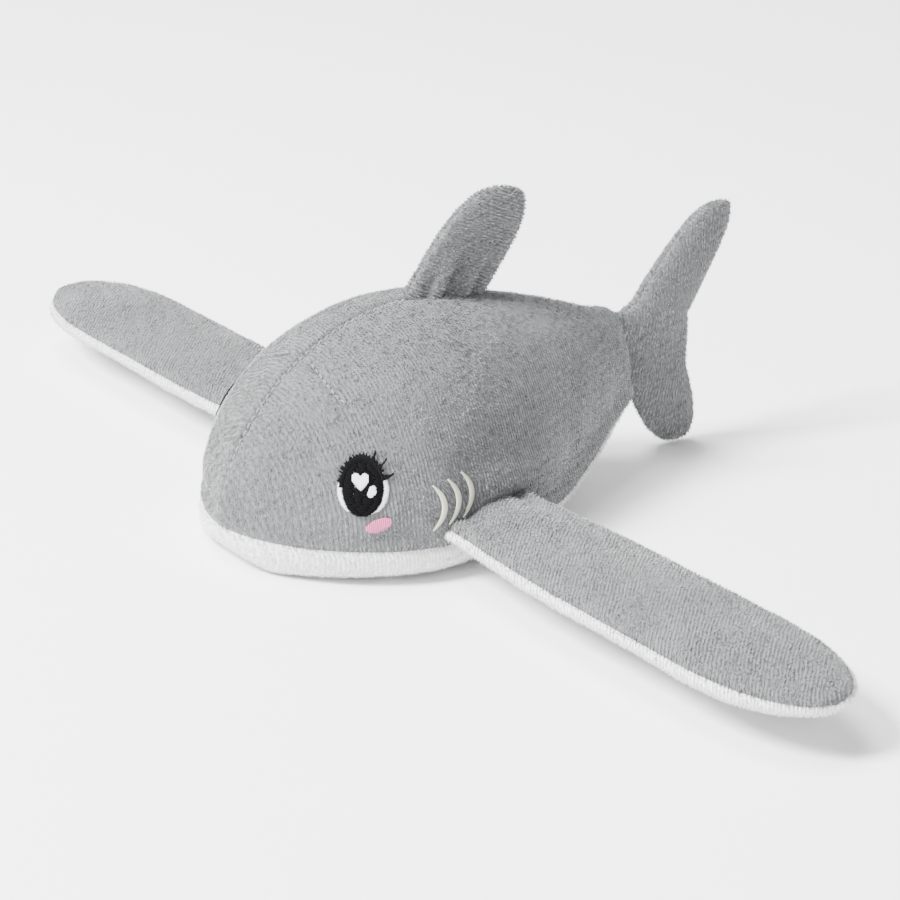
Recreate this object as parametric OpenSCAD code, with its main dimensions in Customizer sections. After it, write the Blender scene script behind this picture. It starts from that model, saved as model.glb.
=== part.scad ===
// Plush shark: stuffed body on a flat belly, two long side fins with a springy
// band inside, a back fin and a tail. Nose points along +X, the animal's left
// is +Y, the belly rests on z = 0. All sizes are in millimetres.

/* [Body] */
// Nose tip to tail seam
body_length = 133.5; // [110:1:165]
// Widest point, just behind the cheeks
body_width = 94; // [76:1:114]
// Floor to the crest of the back
body_height = 62.5; // [51:0.5:76]
// Height of the nose tip above the floor
nose_height = 9.5; // [7.5:0.5:12]
// Height of the back at the tail seam
tail_root_top = 42.5; // [35:0.5:51]
// Height of the belly at the tail seam
tail_root_bottom = 21.5; // [17:0.5:26]
// Width of the body at the tail seam
tail_root_width = 14; // [11:0.5:17]
// Side seam height beside the cheeks
seam_height = 9.5; // [8:0.5:11.5]
// Depth of the flat patch pressed into the belly
belly_flat = 0.6; // [0.3:0.1:1]
// Thickness of the pile fabric, backing and pile together
fabric_thickness = 1.8; // [1.4:0.1:2.3]

/* [Side fins] */
// Root hinge line to fin tip
fin_length = 135; // [110:1:162]
// Width of the flat of the fin
fin_width = 37.5; // [31:0.5:45]
// Width where the fin is sewn to the body
fin_root_width = 32; // [27:1:36]
// Thickness of the filled fin
fin_thickness = 10.4; // [8.8:0.2:12.6]
// Thickness at the root seam
fin_root_thickness = 9; // [7.6:0.2:11]
// Length of the rounded tip
fin_tip_length = 42; // [35:1:50]
// Height of the fin's root seam above the floor
fin_height = 14; // [12.5:0.5:17]
// How far each fin leans back from straight out, in degrees
fin_sweep = 0; // [0:0.5:8]
// How far each fin droops below level, in degrees
fin_droop = 0; // [0:0.25:2]
// How far each fin tips its front edge down, in degrees
fin_pitch = 3.5; // [0:0.5:6]
// Length of each rigid length of the bending fin
fin_step = 34; // [28:1:35]
// Width of the springy band
band_width = 22; // [19:1:24]
// Thickness of the springy band with its film cover
band_thickness = 0.8; // [0.6:0.1:1]

/* [Back fin] */
// Height above the back
back_fin_height = 29.5; // [24.5:0.5:35.5]
// Length of the base seam
back_fin_base = 28; // [23:0.5:34]
// How far the tip leans back behind the base
back_fin_rake = 13.5; // [11:0.5:16.5]
// Thickness of the filled fin
back_fin_thickness = 8.6; // [7:0.2:10.4]

/* [Tail] */
// Floor to the top of the upper lobe
tail_height = 71.5; // [62:0.5:86]
// Front to back across the middle of the tail
tail_chord = 23; // [19:0.2:27.6]
// Backward slope of the upper lobe, sideways over up
upper_rake = 0.72; // [0.6:0.02:0.86]
// Backward slope of the lower lobe
lower_rake = 0.33; // [0.27:0.02:0.4]
// Thickness of the filled tail
tail_thickness = 11; // [9:0.5:13.5]

/* [Face] */
// Width of the dark oval of the eye
eye_width = 11.4; // [9.4:0.2:13.8]
// Height of the dark oval of the eye
eye_height = 15.6; // [13:0.2:18.8]
// Eye centre behind the nose tip
eye_back = 23.7; // [20:0.5:28]
// Eye centre above the floor
eye_up = 28.4; // [24:0.5:32]
// Length of the cheek patch
cheek_length = 8.4; // [7:0.2:10]
// Height of a gill curve
gill_height = 12.5; // [10.4:0.2:15]
// Spacing of the gill curves
gill_step = 4.6; // [3.8:0.1:5.5]
// Thickness of one layer of embroidery
stitch = 0.5; // [0.4:0.05:0.6]

/* [Clearances] */
// Clear gap between pieces that move against each other
joint_gap = 0.3; // [0.25:0.05:0.5]
// Clear gap between sewn neighbours that move together
seam_gap = 0.15; // [0.1:0.05:0.25]

/* [Hidden] */
nose_x = 49.5;
tail_x = nose_x - body_length;
crest_x = nose_x - body_length * 0.442;
wide_x = nose_x - body_length * 0.333;
flat_front = nose_x - 7.5;
flat_back = nose_x - body_length * 0.453;
fin_x = -8;
FT = fabric_thickness;
K = 8;                                  // facets on a half section
body_stations = 22;

// The tail's hinge line stands just behind the tail seam.
tail_r = tail_thickness / 2;
tail_hinge_x = tail_x - joint_gap - tail_r;
tail_mid = tail_height / 2;
tail_center = tail_hinge_x + tail_r - tail_chord / 2;

function clamp1(v) = min(1, max(0, v));
function se(r, p) = pow(max(0, 1 - pow(clamp1(r), p)), 1 / p);
function spow(v, e) = sign(v) * pow(abs(v), e);

// ---- body profiles; d is how far the surface is taken inwards ----
function top_z(x, d) = x > crest_x
    ? nose_height + (body_height - d - nose_height) * se((x - crest_x) / (nose_x - d - crest_x), 1.85)
    : body_height - d - (body_height - tail_root_top) * pow(clamp1((crest_x - x) / (crest_x - tail_x)), 1.85);
function half_y(x, d) = x > wide_x
    ? (body_width / 2 - d) * se((x - wide_x) / (nose_x - d - wide_x), 1.75)
    : body_width / 2 - d - (body_width - tail_root_width) / 2 * pow(clamp1((wide_x - x) / (wide_x - tail_x)), 1.65);
function low_z(x, d) = x > flat_front
    ? d + (nose_height - d) * (1 - se((x - flat_front) / (nose_x - d - flat_front), 1.6))
    : d + tail_root_bottom * pow(clamp1((flat_back - x) / (flat_back - tail_x)), 1.65);
function seam_z(x) = x > wide_x
    ? nose_height + (seam_height - nose_height) * se(1 - clamp1((nose_x - x) / 35), 2)
    : seam_height + ((tail_root_bottom + 6.5) - seam_height) * pow(clamp1((wide_x - x) / (wide_x - tail_x)), 1.5);

// A point of the body's section at x, a = 0 at the left seam, 90 on the crest.
function body_pt(x, a, d) =
    let (b = max(0.05, half_y(x, d)), zt = max(nose_height + 0.05, top_z(x, d)),
         zb = min(nose_height - 0.05, low_z(x, d)), zb2 = x < crest_x ? low_z(x, d) : zb, zm = min(zt - 0.03, max(zb2 + 0.03, seam_z(x))),
         up = sin(a) >= 0, e = up ? 1 : 2 / 4.5,
         z = up ? zm + (zt - zm) * spow(sin(a), e)
                : zm - (zm - zb2 + belly_flat) * spow(-sin(a), e))
    [x, b * spow(cos(a), e), max(z, zb2)];

// Left upper skin as a height over the middle plane, for placing embroidery.
function skin_y(x, z) = let (zm = seam_z(x), zt = top_z(x, 0))
    half_y(x, 0) * (z > zm ? se((z - zm) / (zt - zm), 2) : 1);

function station_x(i, d, end) = let (u = i / body_stations, n = nose_x - d) n + (end - n) * u * u * (1.35 - 0.35 * u);

// One section of a panel: outer curve out, inner curve back.
function panel_ring(i, a0, a1, side) = let (xo = station_x(i, 0, tail_x), xi = station_x(i, FT, tail_x))
    concat([for (k = [0:K]) body_pt(xo, a0 + (a1 - a0) * k / K, 0)],
           [for (k = [K:-1:0]) body_pt(xi, a0 + (a1 - a0) * k / K, FT)]);

// ---- meshes from rings ----
function tube_faces(m, n, flip) = [for (i = [0:m - 2]) for (j = [0:n - 1])
    let (a = i * n + j, b = i * n + (j + 1) % n, c = b + n, e = a + n)
    each flip ? [[a, c, b], [a, e, c]] : [[a, b, c], [a, c, e]]];
function strip_cap(o, n, flip) = [for (k = [0:n / 2 - 2])
    let (a = o + k, b = o + k + 1, c = o + n - 2 - k, e = o + n - 1 - k)
    each flip ? [[a, c, b], [a, e, c]] : [[a, b, c], [a, c, e]]];
function fan_cap(o, n, flip) = [for (k = [1:n - 2]) flip ? [o, o + k + 1, o + k] : [o, o + k, o + k + 1]];
function flat(rings) = [for (r = rings) each r];

module shell(rings, flip) {
    m = len(rings); n = len(rings[0]);
    polyhedron(flat(rings), concat(tube_faces(m, n, flip), strip_cap(0, n, !flip),
        strip_cap((m - 1) * n, n, flip)), convexity = 6);
}
module solid(rings, flip) {
    m = len(rings); n = len(rings[0]);
    polyhedron(flat(rings), concat(tube_faces(m, n, flip), fan_cap(0, n, !flip),
        fan_cap((m - 1) * n, n, flip)), convexity = 6);
}

// A filled body with a slot for the band: the slot is open at the ends named.
module sleeve(outer, inner, open0, open1) {
    m = len(outer); q = len(inner); n = len(outer[0]); s = m * n; e = s + (q - 1) * n;
    polyhedron(concat(flat(outer), flat(inner)), concat(
        tube_faces(m, n, false),
        [for (f = tube_faces(q, n, true)) [for (v = f) v + s]],
        open0 ? [for (j = [0:n - 1]) let (k = (j + 1) % n) each [[j, s + j, s + k], [j, s + k, k]]]
              : concat(fan_cap(0, n, true), fan_cap(s, n, false)),
        open1 ? [for (j = [0:n - 1]) let (k = (j + 1) % n, o = (m - 1) * n)
                    each [[o + j, e + k, e + j], [o + j, o + k, e + k]]]
              : concat(fan_cap((m - 1) * n, n, false), fan_cap(e, n, true))), convexity = 6);
}

// ---- side fin: local x across, y along from the hinge line, z up ----
tip_start = fin_length - fin_tip_length;
cuts = [fin_step, 2 * fin_step, 3 * fin_step];
function fin_w(s, d) = s > tip_start
    ? (fin_width / 2 - d) * se((s - tip_start) / (fin_tip_length - d), 2.2)
    : fin_width / 2 - d - (fin_width - fin_root_width) / 2 * pow(1 - clamp1(s / (tip_start * 0.5)), 2);
function fin_h(s, d) = s > tip_start
    ? (fin_thickness / 2 - d) * se((s - tip_start) / (fin_tip_length - d), 3)
    : fin_thickness / 2 - d - (fin_thickness - fin_root_thickness) / 2 * pow(1 - clamp1(s / 14), 2);
// A station is [s, half width, half thickness]; the root ones go round the hinge line.
function root_station(a, d) = let (r = fin_root_thickness / 2 - d)
    [-r * sin(a), fin_root_width / 2 - d, r * cos(a)];
function plain_station(s, d) = [s, fin_w(s, d), fin_h(s, d)];
function tip_station(q, d) = let (c = cuts[2] + joint_gap / 2, s = c + (fin_length - d - c) * q)
    [s, max(0.8, fin_w(s, d)), max(0.5, fin_h(s, d))];
function fin_stations(i, d) =
    i == 0 ? concat([for (a = [80, 50, 22]) root_station(a, d)], [for (s = [0, 8, 18]) plain_station(s, d)],
                    [plain_station(cuts[0] - joint_gap / 2, d)])
  : i == 1 ? [for (s = [cuts[0] + joint_gap / 2, cuts[1] - joint_gap / 2]) plain_station(s, d)]
  : i == 2 ? [for (s = [cuts[1] + joint_gap / 2, cuts[1] + fin_step * 0.6, cuts[2] - joint_gap / 2]) plain_station(s, d)]
  : [for (q = [0, 0.28, 0.52, 0.72, 0.86, 0.95, 1]) tip_station(q, d)];
function fin_arc(st, a0, a1, lift) = [for (k = [0:K]) let (a = a0 + (a1 - a0) * k / K)
    [st[1] * spow(cos(a), 2 / 2.3), st[0], (a1 > 90 ? 1 : -1) * max(lift, abs(st[2] * spow(sin(a), 2 / 2.3)))]];
function fin_ring(st, e) = [for (k = [0:2 * K - 1]) let (a = 180 * k / K)
    [st[1] * spow(cos(a), e), st[0], st[2] * spow(sin(a), e)]];

module fin_panel(i, up) {
    so = fin_stations(i, 0); si = fin_stations(i, FT);
    a1 = up ? 180 : -180; lift = seam_gap / 2;
    rings = [for (j = [0:len(so) - 1]) let (q = fin_arc(si[j], 0, a1, lift), n = len(q))
        concat(fin_arc(so[j], 0, a1, lift), [for (k = [n - 1:-1:0]) q[k]])];
    shell(rings, up);
}
band_start = 4;
band_end = fin_length - 20;
slot_w = band_width / 2 + 1;
slot_h = band_thickness / 2 + 0.4;
module fin_wadding(i) {
    d = FT + seam_gap + 0.1;
    outer = [for (s = fin_stations(i, d)) fin_ring(s, 2 / 2.3)];
    a = i == 0 ? band_start - 1 : cuts[i - 1] + joint_gap / 2;
    b = i == 3 ? band_end + 1 : cuts[i] - joint_gap / 2;
    inner = i == 3
        ? [for (s = [[a, slot_w, slot_h], [b - 6, slot_w, slot_h], [b, slot_w * 0.62, slot_h]]) fin_ring(s, 0.2)]
        : [for (s = [a, b]) fin_ring([s, slot_w, slot_h], 0.2)];
    mirror([0, 0, 1]) sleeve(outer, inner, i != 0, i != 3);
}
module fin_band(i) {
    a = i == 0 ? band_start : cuts[i - 1] + joint_gap / 2;
    b = i == 3 ? band_end : cuts[i] - joint_gap / 2;
    w = band_width / 2;
    translate([0, 0, -band_thickness / 2]) linear_extrude(band_thickness)
        polygon(i == 3 ? [[-w, a], [w, a], [w, b - 7], [w * 0.6, b], [-w * 0.6, b], [-w, b - 7]]
                       : [[-w, a], [w, a], [w, b], [-w, b]]);
}
// The rounded root lies against the widest part of the body, clear of the gills' thread.
fin_root_r = fin_root_thickness / 2;
fin_hinge_y = joint_gap + stitch + 0.2 + max([for (a = [-90:10:90])
    skin_y(wide_x, fin_height + fin_root_r * sin(a)) + fin_root_r * cos(a)]);
module fin_place(side) {
    translate([x_shift, 0, 0]) mirror([0, side < 0 ? 1 : 0, 0])
        translate([fin_x, fin_hinge_y, fin_height]) rotate([0, 0, fin_sweep]) rotate([-fin_droop, 0, 0])
            rotate([0, fin_pitch, 0]) children();
}

// ---- back fin and tail: rings stacked along a line, halves split on the middle plane ----
back_r = back_fin_thickness / 2;
back_x = crest_x - 17.2;
back_slope = atan(1.85 * (body_height - tail_root_top) / (crest_x - tail_x)
    * pow((crest_x - back_x) / (crest_x - tail_x), 0.85));
back_len = back_fin_height - back_r - joint_gap;
// A station is [height, centre, half length, half thickness].
function back_stations(d) = let (r = back_r - d, n = back_len - d) concat(
    [for (a = [78, 45, 20]) [-r * sin(a), 0, back_fin_base / 2 - d, r * cos(a)]],
    [for (q = [0, 0.25, 0.5, 0.7, 0.85, 0.95, 1]) [n * q, -back_fin_rake * (n * q) / back_len,
        max(0.7, (back_fin_base / 2 - d) * se(q, 2.9)), max(0.4, r * se(q, 2.8))]]);
function tail_station(z, d) = let (r = abs(z - tail_mid) / (tail_mid - d))
    [z, tail_center - upper_rake * max(0, z - tail_mid * 1.12) - lower_rake * max(0, tail_mid * 0.7 - z),
     max(0.8, (tail_chord / 2 - d) * se(r, 3)), max(0.5, (tail_r - d) * se(r, 2.2))];
function tail_stations(d) = [for (q = [-1, -0.95, -0.86, -0.72, -0.5, -0.25, 0, 0.12, 0.3, 0.5, 0.72, 0.86, 0.95, 1])
    tail_station(tail_mid + (tail_mid - d) * q, d)];
function slab_arc(st, side, lift) = [for (k = [0:K]) let (a = 180 * k / K)
    [st[1] + st[2] * spow(cos(a), 2 / 2.2), side * max(lift, st[3] * spow(sin(a), 2 / 2.2)), st[0]]];
function slab_ring(st) = [for (k = [0:2 * K - 1]) let (a = 180 * k / K)
    [st[1] + st[2] * spow(cos(a), 2 / 2.2), st[3] * spow(sin(a), 2 / 2.2), st[0]]];
module slab_panel(so, si, side) {
    lift = seam_gap / 2;
    shell([for (j = [0:len(so) - 1]) let (q = slab_arc(si[j], side, lift), n = len(q))
        concat(slab_arc(so[j], side, lift), [for (k = [n - 1:-1:0]) q[k]])], side < 0);
}
module slab_fill(st) { solid([for (s = st) slab_ring(s)], false); }
module back_place() {
    translate([back_x + x_shift, 0, top_z(back_x, 0)]) rotate([0, -back_slope, 0])
        translate([0, 0, back_r + joint_gap]) children();
}

// ---- embroidery, laid on the left cheek and mirrored to the right ----
eye_x = nose_x - eye_back;
function skin_n(x, z) = let (e = 0.5,
    n = [-(skin_y(x + e, z) - skin_y(x - e, z)) / (2 * e), 1, -(skin_y(x, z + e) - skin_y(x, z - e)) / (2 * e)]) n / norm(n);
// Face coordinates: p runs back along the cheek, q up it, t is the height above the skin.
function face_pt(x0, z0, p, q, t) = let (n = skin_n(x0, z0), f = [-n[1], n[0], 0] / norm([n[0], n[1]]),
    u = cross(f, n), s = u[2] < 0 ? -u : u, c = [x0, skin_y(x0, z0), z0] + p * f + q * s,
    x = c[0], z = c[2], m = skin_n(x, z)) [x, skin_y(x, z), z] + t * m;
// A patch with a curved outline: rim points, one ring halfway in, and a centre.
module patch(x0, z0, rim, c, t0, t1) {
    n = len(rim);
    pts = [for (t = [t0, t1]) each concat([for (r = rim) face_pt(x0, z0, r[0], r[1], t)],
        [for (r = rim) face_pt(x0, z0, (r[0] + c[0]) / 2, (r[1] + c[1]) / 2, t)], [face_pt(x0, z0, c[0], c[1], t)])];
    h = 2 * n + 1;
    top = [for (j = [0:n - 1]) let (k = (j + 1) % n)
        each [[j, n + k, k], [j, n + j, n + k], [n + j, 2 * n, n + k]]];
    polyhedron(pts, concat([for (f = top) [f[0] + h, f[1] + h, f[2] + h]],
        [for (f = top) [f[0], f[2], f[1]]],
        [for (j = [0:n - 1]) let (k = (j + 1) % n) each [[j, k + h, k], [j, j + h, k + h]]]), convexity = 4);
}
// A ribbon along a path of [p, q, half width], square to the path.
module ribbon(x0, z0, path, t0, t1) {
    m = len(path);
    rings = [for (i = [0:m - 1]) let (a = path[max(0, i - 1)], b = path[min(m - 1, i + 1)], p = path[i],
        d = [b[0] - a[0], b[1] - a[1]], n = [-d[1], d[0]] / norm(d) * p[2])
        [face_pt(x0, z0, p[0] + n[0], p[1] + n[1], t0), face_pt(x0, z0, p[0] + n[0], p[1] + n[1], t1),
         face_pt(x0, z0, p[0] - n[0], p[1] - n[1], t1), face_pt(x0, z0, p[0] - n[0], p[1] - n[1], t0)]];
    solid(rings, true);
}
function oval(w, h, n) = [for (i = [0:n - 1]) let (a = 360 * i / n) [w / 2 * cos(a), h / 2 * sin(a)]];
function heart(s, n) = [for (i = [0:n - 1]) let (a = 360 * i / n + 9)
    s / 32 * [-16 * pow(sin(a), 3), 13 * cos(a) - 5 * cos(2 * a) - 2 * cos(3 * a) - cos(4 * a)]];
module face_side(side) {
    translate([x_shift, 0, 0]) mirror([0, side < 0 ? 1 : 0, 0]) children();
}
lift = 0.08;
module eye_white(side) {
    face_side(side) patch(eye_x, eye_up, [for (r = oval(eye_width * 1.22, eye_height * 0.93, 18)) r + [0.2, -0.5]],
        [0.2, -0.5], lift, lift + stitch);
}
module eye_dark(side) {
    face_side(side) patch(eye_x, eye_up, oval(eye_width, eye_height, 20), [0, 0], 2 * lift + stitch, 2 * lift + 2 * stitch);
}
module eye_glints(side) {
    t = 3 * lift + 2 * stitch;
    face_side(side) {
        patch(eye_x, eye_up, [for (r = heart(eye_width * 0.44, 20)) r + [-0.6, eye_height * 0.17]],
            [-0.6, eye_height * 0.17], t, t + stitch * 0.8);
        patch(eye_x, eye_up, [for (r = oval(eye_width * 0.24, eye_height * 0.19, 12)) r + [eye_width * 0.23, -eye_height * 0.03]],
            [eye_width * 0.23, -eye_height * 0.03], t, t + stitch * 0.8);
    }
}
module eye_lashes(side) {
    t = 3 * lift + 2 * stitch;
    a = eye_width / 2 + 0.9; b = eye_height / 2 + 0.9;
    face_side(side) {
        ribbon(eye_x, eye_up, [for (i = [0:10]) let (g = 172 - 15.5 * i) [a * cos(g), b * sin(g), 0.45 + 0.5 * sin(18 * i)]], t, t + stitch * 0.8);
        for (g = [[62, 4.2], [38, 4.6], [16, 3.8]])
            ribbon(eye_x, eye_up, [for (i = [0:3]) let (r = 1.25 + g[1] * i / 3)
                [(a + r) * cos(g[0] - i * 2), (b + r) * sin(g[0] - i * 2), 0.62 - 0.14 * i]], lift, lift + stitch);
    }
}
module cheek(side) {
    face_side(side) patch(eye_x - 2.5, eye_up - 9.3, [for (r = oval(cheek_length, cheek_length * 0.5, 16))
        [r[0] * cos(20) - r[1] * sin(20), r[0] * sin(20) + r[1] * cos(20)]], [0, 0], lift, lift + stitch);
}
module gills(side) {
    face_side(side) for (i = [0:2]) ribbon(eye_x - 16.2, eye_up - 7.2, [for (j = [0:8]) let (v = j / 4 - 1)
        [gill_step * i + 3.1 * (1 - v * v) - 1.8 * (1 - v) * (1 - v) * 0.12, v * gill_height / 2 + 0.9 * i,
         0.28 + 0.72 * (1 - v * v)]], lift, lift + stitch);
}

// Everything is shifted so the whole toy is centred front to back.
tail_end = min([for (s = tail_stations(0)) s[1] - s[2]]);
x_shift = -(nose_x + tail_end) / 2;

module back_panel_left() {
    color("slategray") translate([x_shift, 0, 0]) shell([for (i = [0:body_stations])
        [for (p = panel_ring(i, 0, 90)) [p[0], max(seam_gap / 2, p[1]), max(p[2], seam_z(p[0]) + seam_gap / 2)]]], true);
}
module back_panel_right() {
    color("lightslategray") mirror([0, 1, 0]) back_panel_left();
}
module belly_panel() {
    color("white") translate([x_shift, 0, 0]) shell([for (i = [0:body_stations])
        [for (p = panel_ring(i, -180, 0)) [p[0], p[1], min(p[2], seam_z(p[0]) - seam_gap / 2)]]], true);
}
module body_stuffing() {
    d = FT + seam_gap + 0.1;
    color("ivory") translate([x_shift, 0, 0]) solid([for (i = [0:body_stations]) let (x = station_x(i, d, tail_x + 0.5))
        concat([for (k = [0:K]) body_pt(x, 90 * k / K, d)], [for (k = [1:K]) body_pt(x, 90 + 90 * k / K, d)],
               [for (k = [1:K - 1]) body_pt(x, 180 + 180 * k / K, d)])], true);
}
module eye_white_left() { color("white") eye_white(1); }
module eye_white_right() { color("white") eye_white(-1); }
module eye_dark_left() { color("black") eye_dark(1); }
module eye_dark_right() { color("black") eye_dark(-1); }
module eye_glints_left() { color("snow") eye_glints(1); }
module eye_glints_right() { color("snow") eye_glints(-1); }
module eye_lashes_left() { color("dimgray") eye_lashes(1); }
module eye_lashes_right() { color("dimgray") eye_lashes(-1); }
module cheek_left() { color("pink") cheek(1); }
module cheek_right() { color("pink") cheek(-1); }
module gills_left() { color("beige") gills(1); }
module gills_right() { color("beige") gills(-1); }
module fin_top_left_1() { color("slategray") fin_place(1) fin_panel(0, true); }
module fin_top_left_2() { color("slategray") fin_place(1) fin_panel(1, true); }
module fin_top_left_3() { color("slategray") fin_place(1) fin_panel(2, true); }
module fin_top_left_4() { color("slategray") fin_place(1) fin_panel(3, true); }
module fin_under_left_1() { color("white") fin_place(1) fin_panel(0, false); }
module fin_under_left_2() { color("white") fin_place(1) fin_panel(1, false); }
module fin_under_left_3() { color("white") fin_place(1) fin_panel(2, false); }
module fin_under_left_4() { color("white") fin_place(1) fin_panel(3, false); }
module fin_wadding_left_1() { color("ivory") fin_place(1) fin_wadding(0); }
module fin_wadding_left_2() { color("ivory") fin_place(1) fin_wadding(1); }
module fin_wadding_left_3() { color("ivory") fin_place(1) fin_wadding(2); }
module fin_wadding_left_4() { color("ivory") fin_place(1) fin_wadding(3); }
module fin_band_left_1() { color("silver") fin_place(1) fin_band(0); }
module fin_band_left_2() { color("silver") fin_place(1) fin_band(1); }
module fin_band_left_3() { color("silver") fin_place(1) fin_band(2); }
module fin_band_left_4() { color("silver") fin_place(1) fin_band(3); }
module fin_top_right_1() { color("slategray") fin_place(-1) fin_panel(0, true); }
module fin_top_right_2() { color("slategray") fin_place(-1) fin_panel(1, true); }
module fin_top_right_3() { color("slategray") fin_place(-1) fin_panel(2, true); }
module fin_top_right_4() { color("slategray") fin_place(-1) fin_panel(3, true); }
module fin_under_right_1() { color("white") fin_place(-1) fin_panel(0, false); }
module fin_under_right_2() { color("white") fin_place(-1) fin_panel(1, false); }
module fin_under_right_3() { color("white") fin_place(-1) fin_panel(2, false); }
module fin_under_right_4() { color("white") fin_place(-1) fin_panel(3, false); }
module fin_wadding_right_1() { color("ivory") fin_place(-1) fin_wadding(0); }
module fin_wadding_right_2() { color("ivory") fin_place(-1) fin_wadding(1); }
module fin_wadding_right_3() { color("ivory") fin_place(-1) fin_wadding(2); }
module fin_wadding_right_4() { color("ivory") fin_place(-1) fin_wadding(3); }
module fin_band_right_1() { color("silver") fin_place(-1) fin_band(0); }
module fin_band_right_2() { color("silver") fin_place(-1) fin_band(1); }
module fin_band_right_3() { color("silver") fin_place(-1) fin_band(2); }
module fin_band_right_4() { color("silver") fin_place(-1) fin_band(3); }
module back_fin_panel_left() { color("slategray") back_place() slab_panel(back_stations(0), back_stations(FT), 1); }
module back_fin_panel_right() { color("lightslategray") back_place() slab_panel(back_stations(0), back_stations(FT), -1); }
module back_fin_stuffing() { color("ivory") back_place() slab_fill(back_stations(FT + seam_gap)); }
module tail_panel_left() { color("slategray") translate([x_shift, 0, 0]) slab_panel(tail_stations(0), tail_stations(FT), 1); }
module tail_panel_right() { color("lightslategray") translate([x_shift, 0, 0]) slab_panel(tail_stations(0), tail_stations(FT), -1); }
module tail_stuffing() { color("ivory") translate([x_shift, 0, 0]) slab_fill(tail_stations(FT + seam_gap)); }

back_panel_left();
back_panel_right();
belly_panel();
body_stuffing();
eye_white_left();
eye_dark_left();
eye_glints_left();
eye_lashes_left();
cheek_left();
gills_left();
eye_white_right();
eye_dark_right();
eye_glints_right();
eye_lashes_right();
cheek_right();
gills_right();
fin_top_left_1();
fin_top_left_2();
fin_top_left_3();
fin_top_left_4();
fin_under_left_1();
fin_under_left_2();
fin_under_left_3();
fin_under_left_4();
fin_wadding_left_1();
fin_wadding_left_2();
fin_wadding_left_3();
fin_wadding_left_4();
fin_band_left_1();
fin_band_left_2();
fin_band_left_3();
fin_band_left_4();
fin_top_right_1();
fin_top_right_2();
fin_top_right_3();
fin_top_right_4();
fin_under_right_1();
fin_under_right_2();
fin_under_right_3();
fin_under_right_4();
fin_wadding_right_1();
fin_wadding_right_2();
fin_wadding_right_3();
fin_wadding_right_4();
fin_band_right_1();
fin_band_right_2();
fin_band_right_3();
fin_band_right_4();
back_fin_panel_left();
back_fin_panel_right();
back_fin_stuffing();
tail_panel_left();
tail_panel_right();
tail_stuffing();
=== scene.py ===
"""Plush shark: the soft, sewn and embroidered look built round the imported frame.

Every shape is worked out in millimetres in the maker's frame (nose along +X,
the animal's left is +Y, floor at z = 0) and turned to metres in the row frame
by row().
"""
import math

import bmesh
import bpy
import numpy as np
from bpy.props import FloatProperty, FloatVectorProperty, PointerProperty
from mathutils import Matrix, Vector
from mathutils.bvhtree import BVHTree


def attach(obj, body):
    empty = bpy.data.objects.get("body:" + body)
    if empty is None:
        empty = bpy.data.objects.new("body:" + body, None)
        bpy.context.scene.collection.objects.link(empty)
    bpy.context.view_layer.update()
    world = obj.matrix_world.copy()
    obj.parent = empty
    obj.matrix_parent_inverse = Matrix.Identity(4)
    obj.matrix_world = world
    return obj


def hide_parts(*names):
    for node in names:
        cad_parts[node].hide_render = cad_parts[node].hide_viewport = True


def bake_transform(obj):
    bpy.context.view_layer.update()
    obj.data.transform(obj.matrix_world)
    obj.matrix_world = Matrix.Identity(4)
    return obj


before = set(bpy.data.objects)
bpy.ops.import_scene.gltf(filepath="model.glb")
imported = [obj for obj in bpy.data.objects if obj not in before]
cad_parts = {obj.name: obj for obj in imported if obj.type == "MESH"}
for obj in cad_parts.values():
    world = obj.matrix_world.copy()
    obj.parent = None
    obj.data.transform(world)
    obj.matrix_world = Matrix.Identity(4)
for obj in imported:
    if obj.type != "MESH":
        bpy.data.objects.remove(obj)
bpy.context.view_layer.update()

bl_info = {
    "name": "Plush Shark Builder",
    "version": (1, 0, 0),
    "blender": (4, 5, 0),
    "location": "View3D > Sidebar > Plush Shark",
    "description": "Builds the pile skins, filling, embroidery and stage of a stuffed shark",
    "category": "Add Mesh",
}

# Pattern sizes shared with the solid parts, in millimetres.
X_SHIFT = 36.836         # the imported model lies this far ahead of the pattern
NOSE_X = 49.5            # tip of the nose
BODY_LENGTH = 133.5      # nose to tail seam
BODY_WIDTH = 94.0
BODY_HEIGHT = 62.5
NOSE_HEIGHT = 9.5
TAIL_ROOT_TOP = 42.5     # the end of the body, where the tail is sewn on
TAIL_ROOT_BOTTOM = 21.5
TAIL_ROOT_WIDTH = 14.0
SEAM_HEIGHT = 9.5        # side seam over the floor at the widest place
SEAM_LOW = 1.8           # and over the belly's edge at the rear
TAIL_X = NOSE_X - BODY_LENGTH
CREST_X = NOSE_X - 0.442 * BODY_LENGTH     # where the body is highest
WIDE_X = NOSE_X - 0.333 * BODY_LENGTH      # where it is widest
FLAT_FRONT = NOSE_X - 7.5                  # ends of the flat that it rests on
FLAT_BACK = NOSE_X - 0.453 * BODY_LENGTH
FABRIC = 1.8             # backing and pile together
PILE_IN = 0.55           # the backing lies this far under the brushed surface
BACKING_IN = FABRIC - 0.1                  # inner face of the backing

FIN_X, FIN_Y, FIN_Z = -8.0, 52.315, 14.0   # middle of a side fin's root hinge
FIN_LENGTH = 135.0
FIN_WIDTH, FIN_ROOT_WIDTH = 37.5, 32.0
FIN_THICK, FIN_ROOT_THICK = 10.4, 9.0
FIN_TIP = 42.0           # length of the rounded tip
FIN_PITCH = math.radians(3.5)
FIN_STEP = 34.0          # from one curl hinge to the next
FIN_CUTS = tuple(FIN_STEP * (i + 0.5) for i in range(3))   # skins part midway along each rigid length
RIM_TURN = 0.33          # the rim seam runs above mid-thickness, so white shows along it

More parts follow.
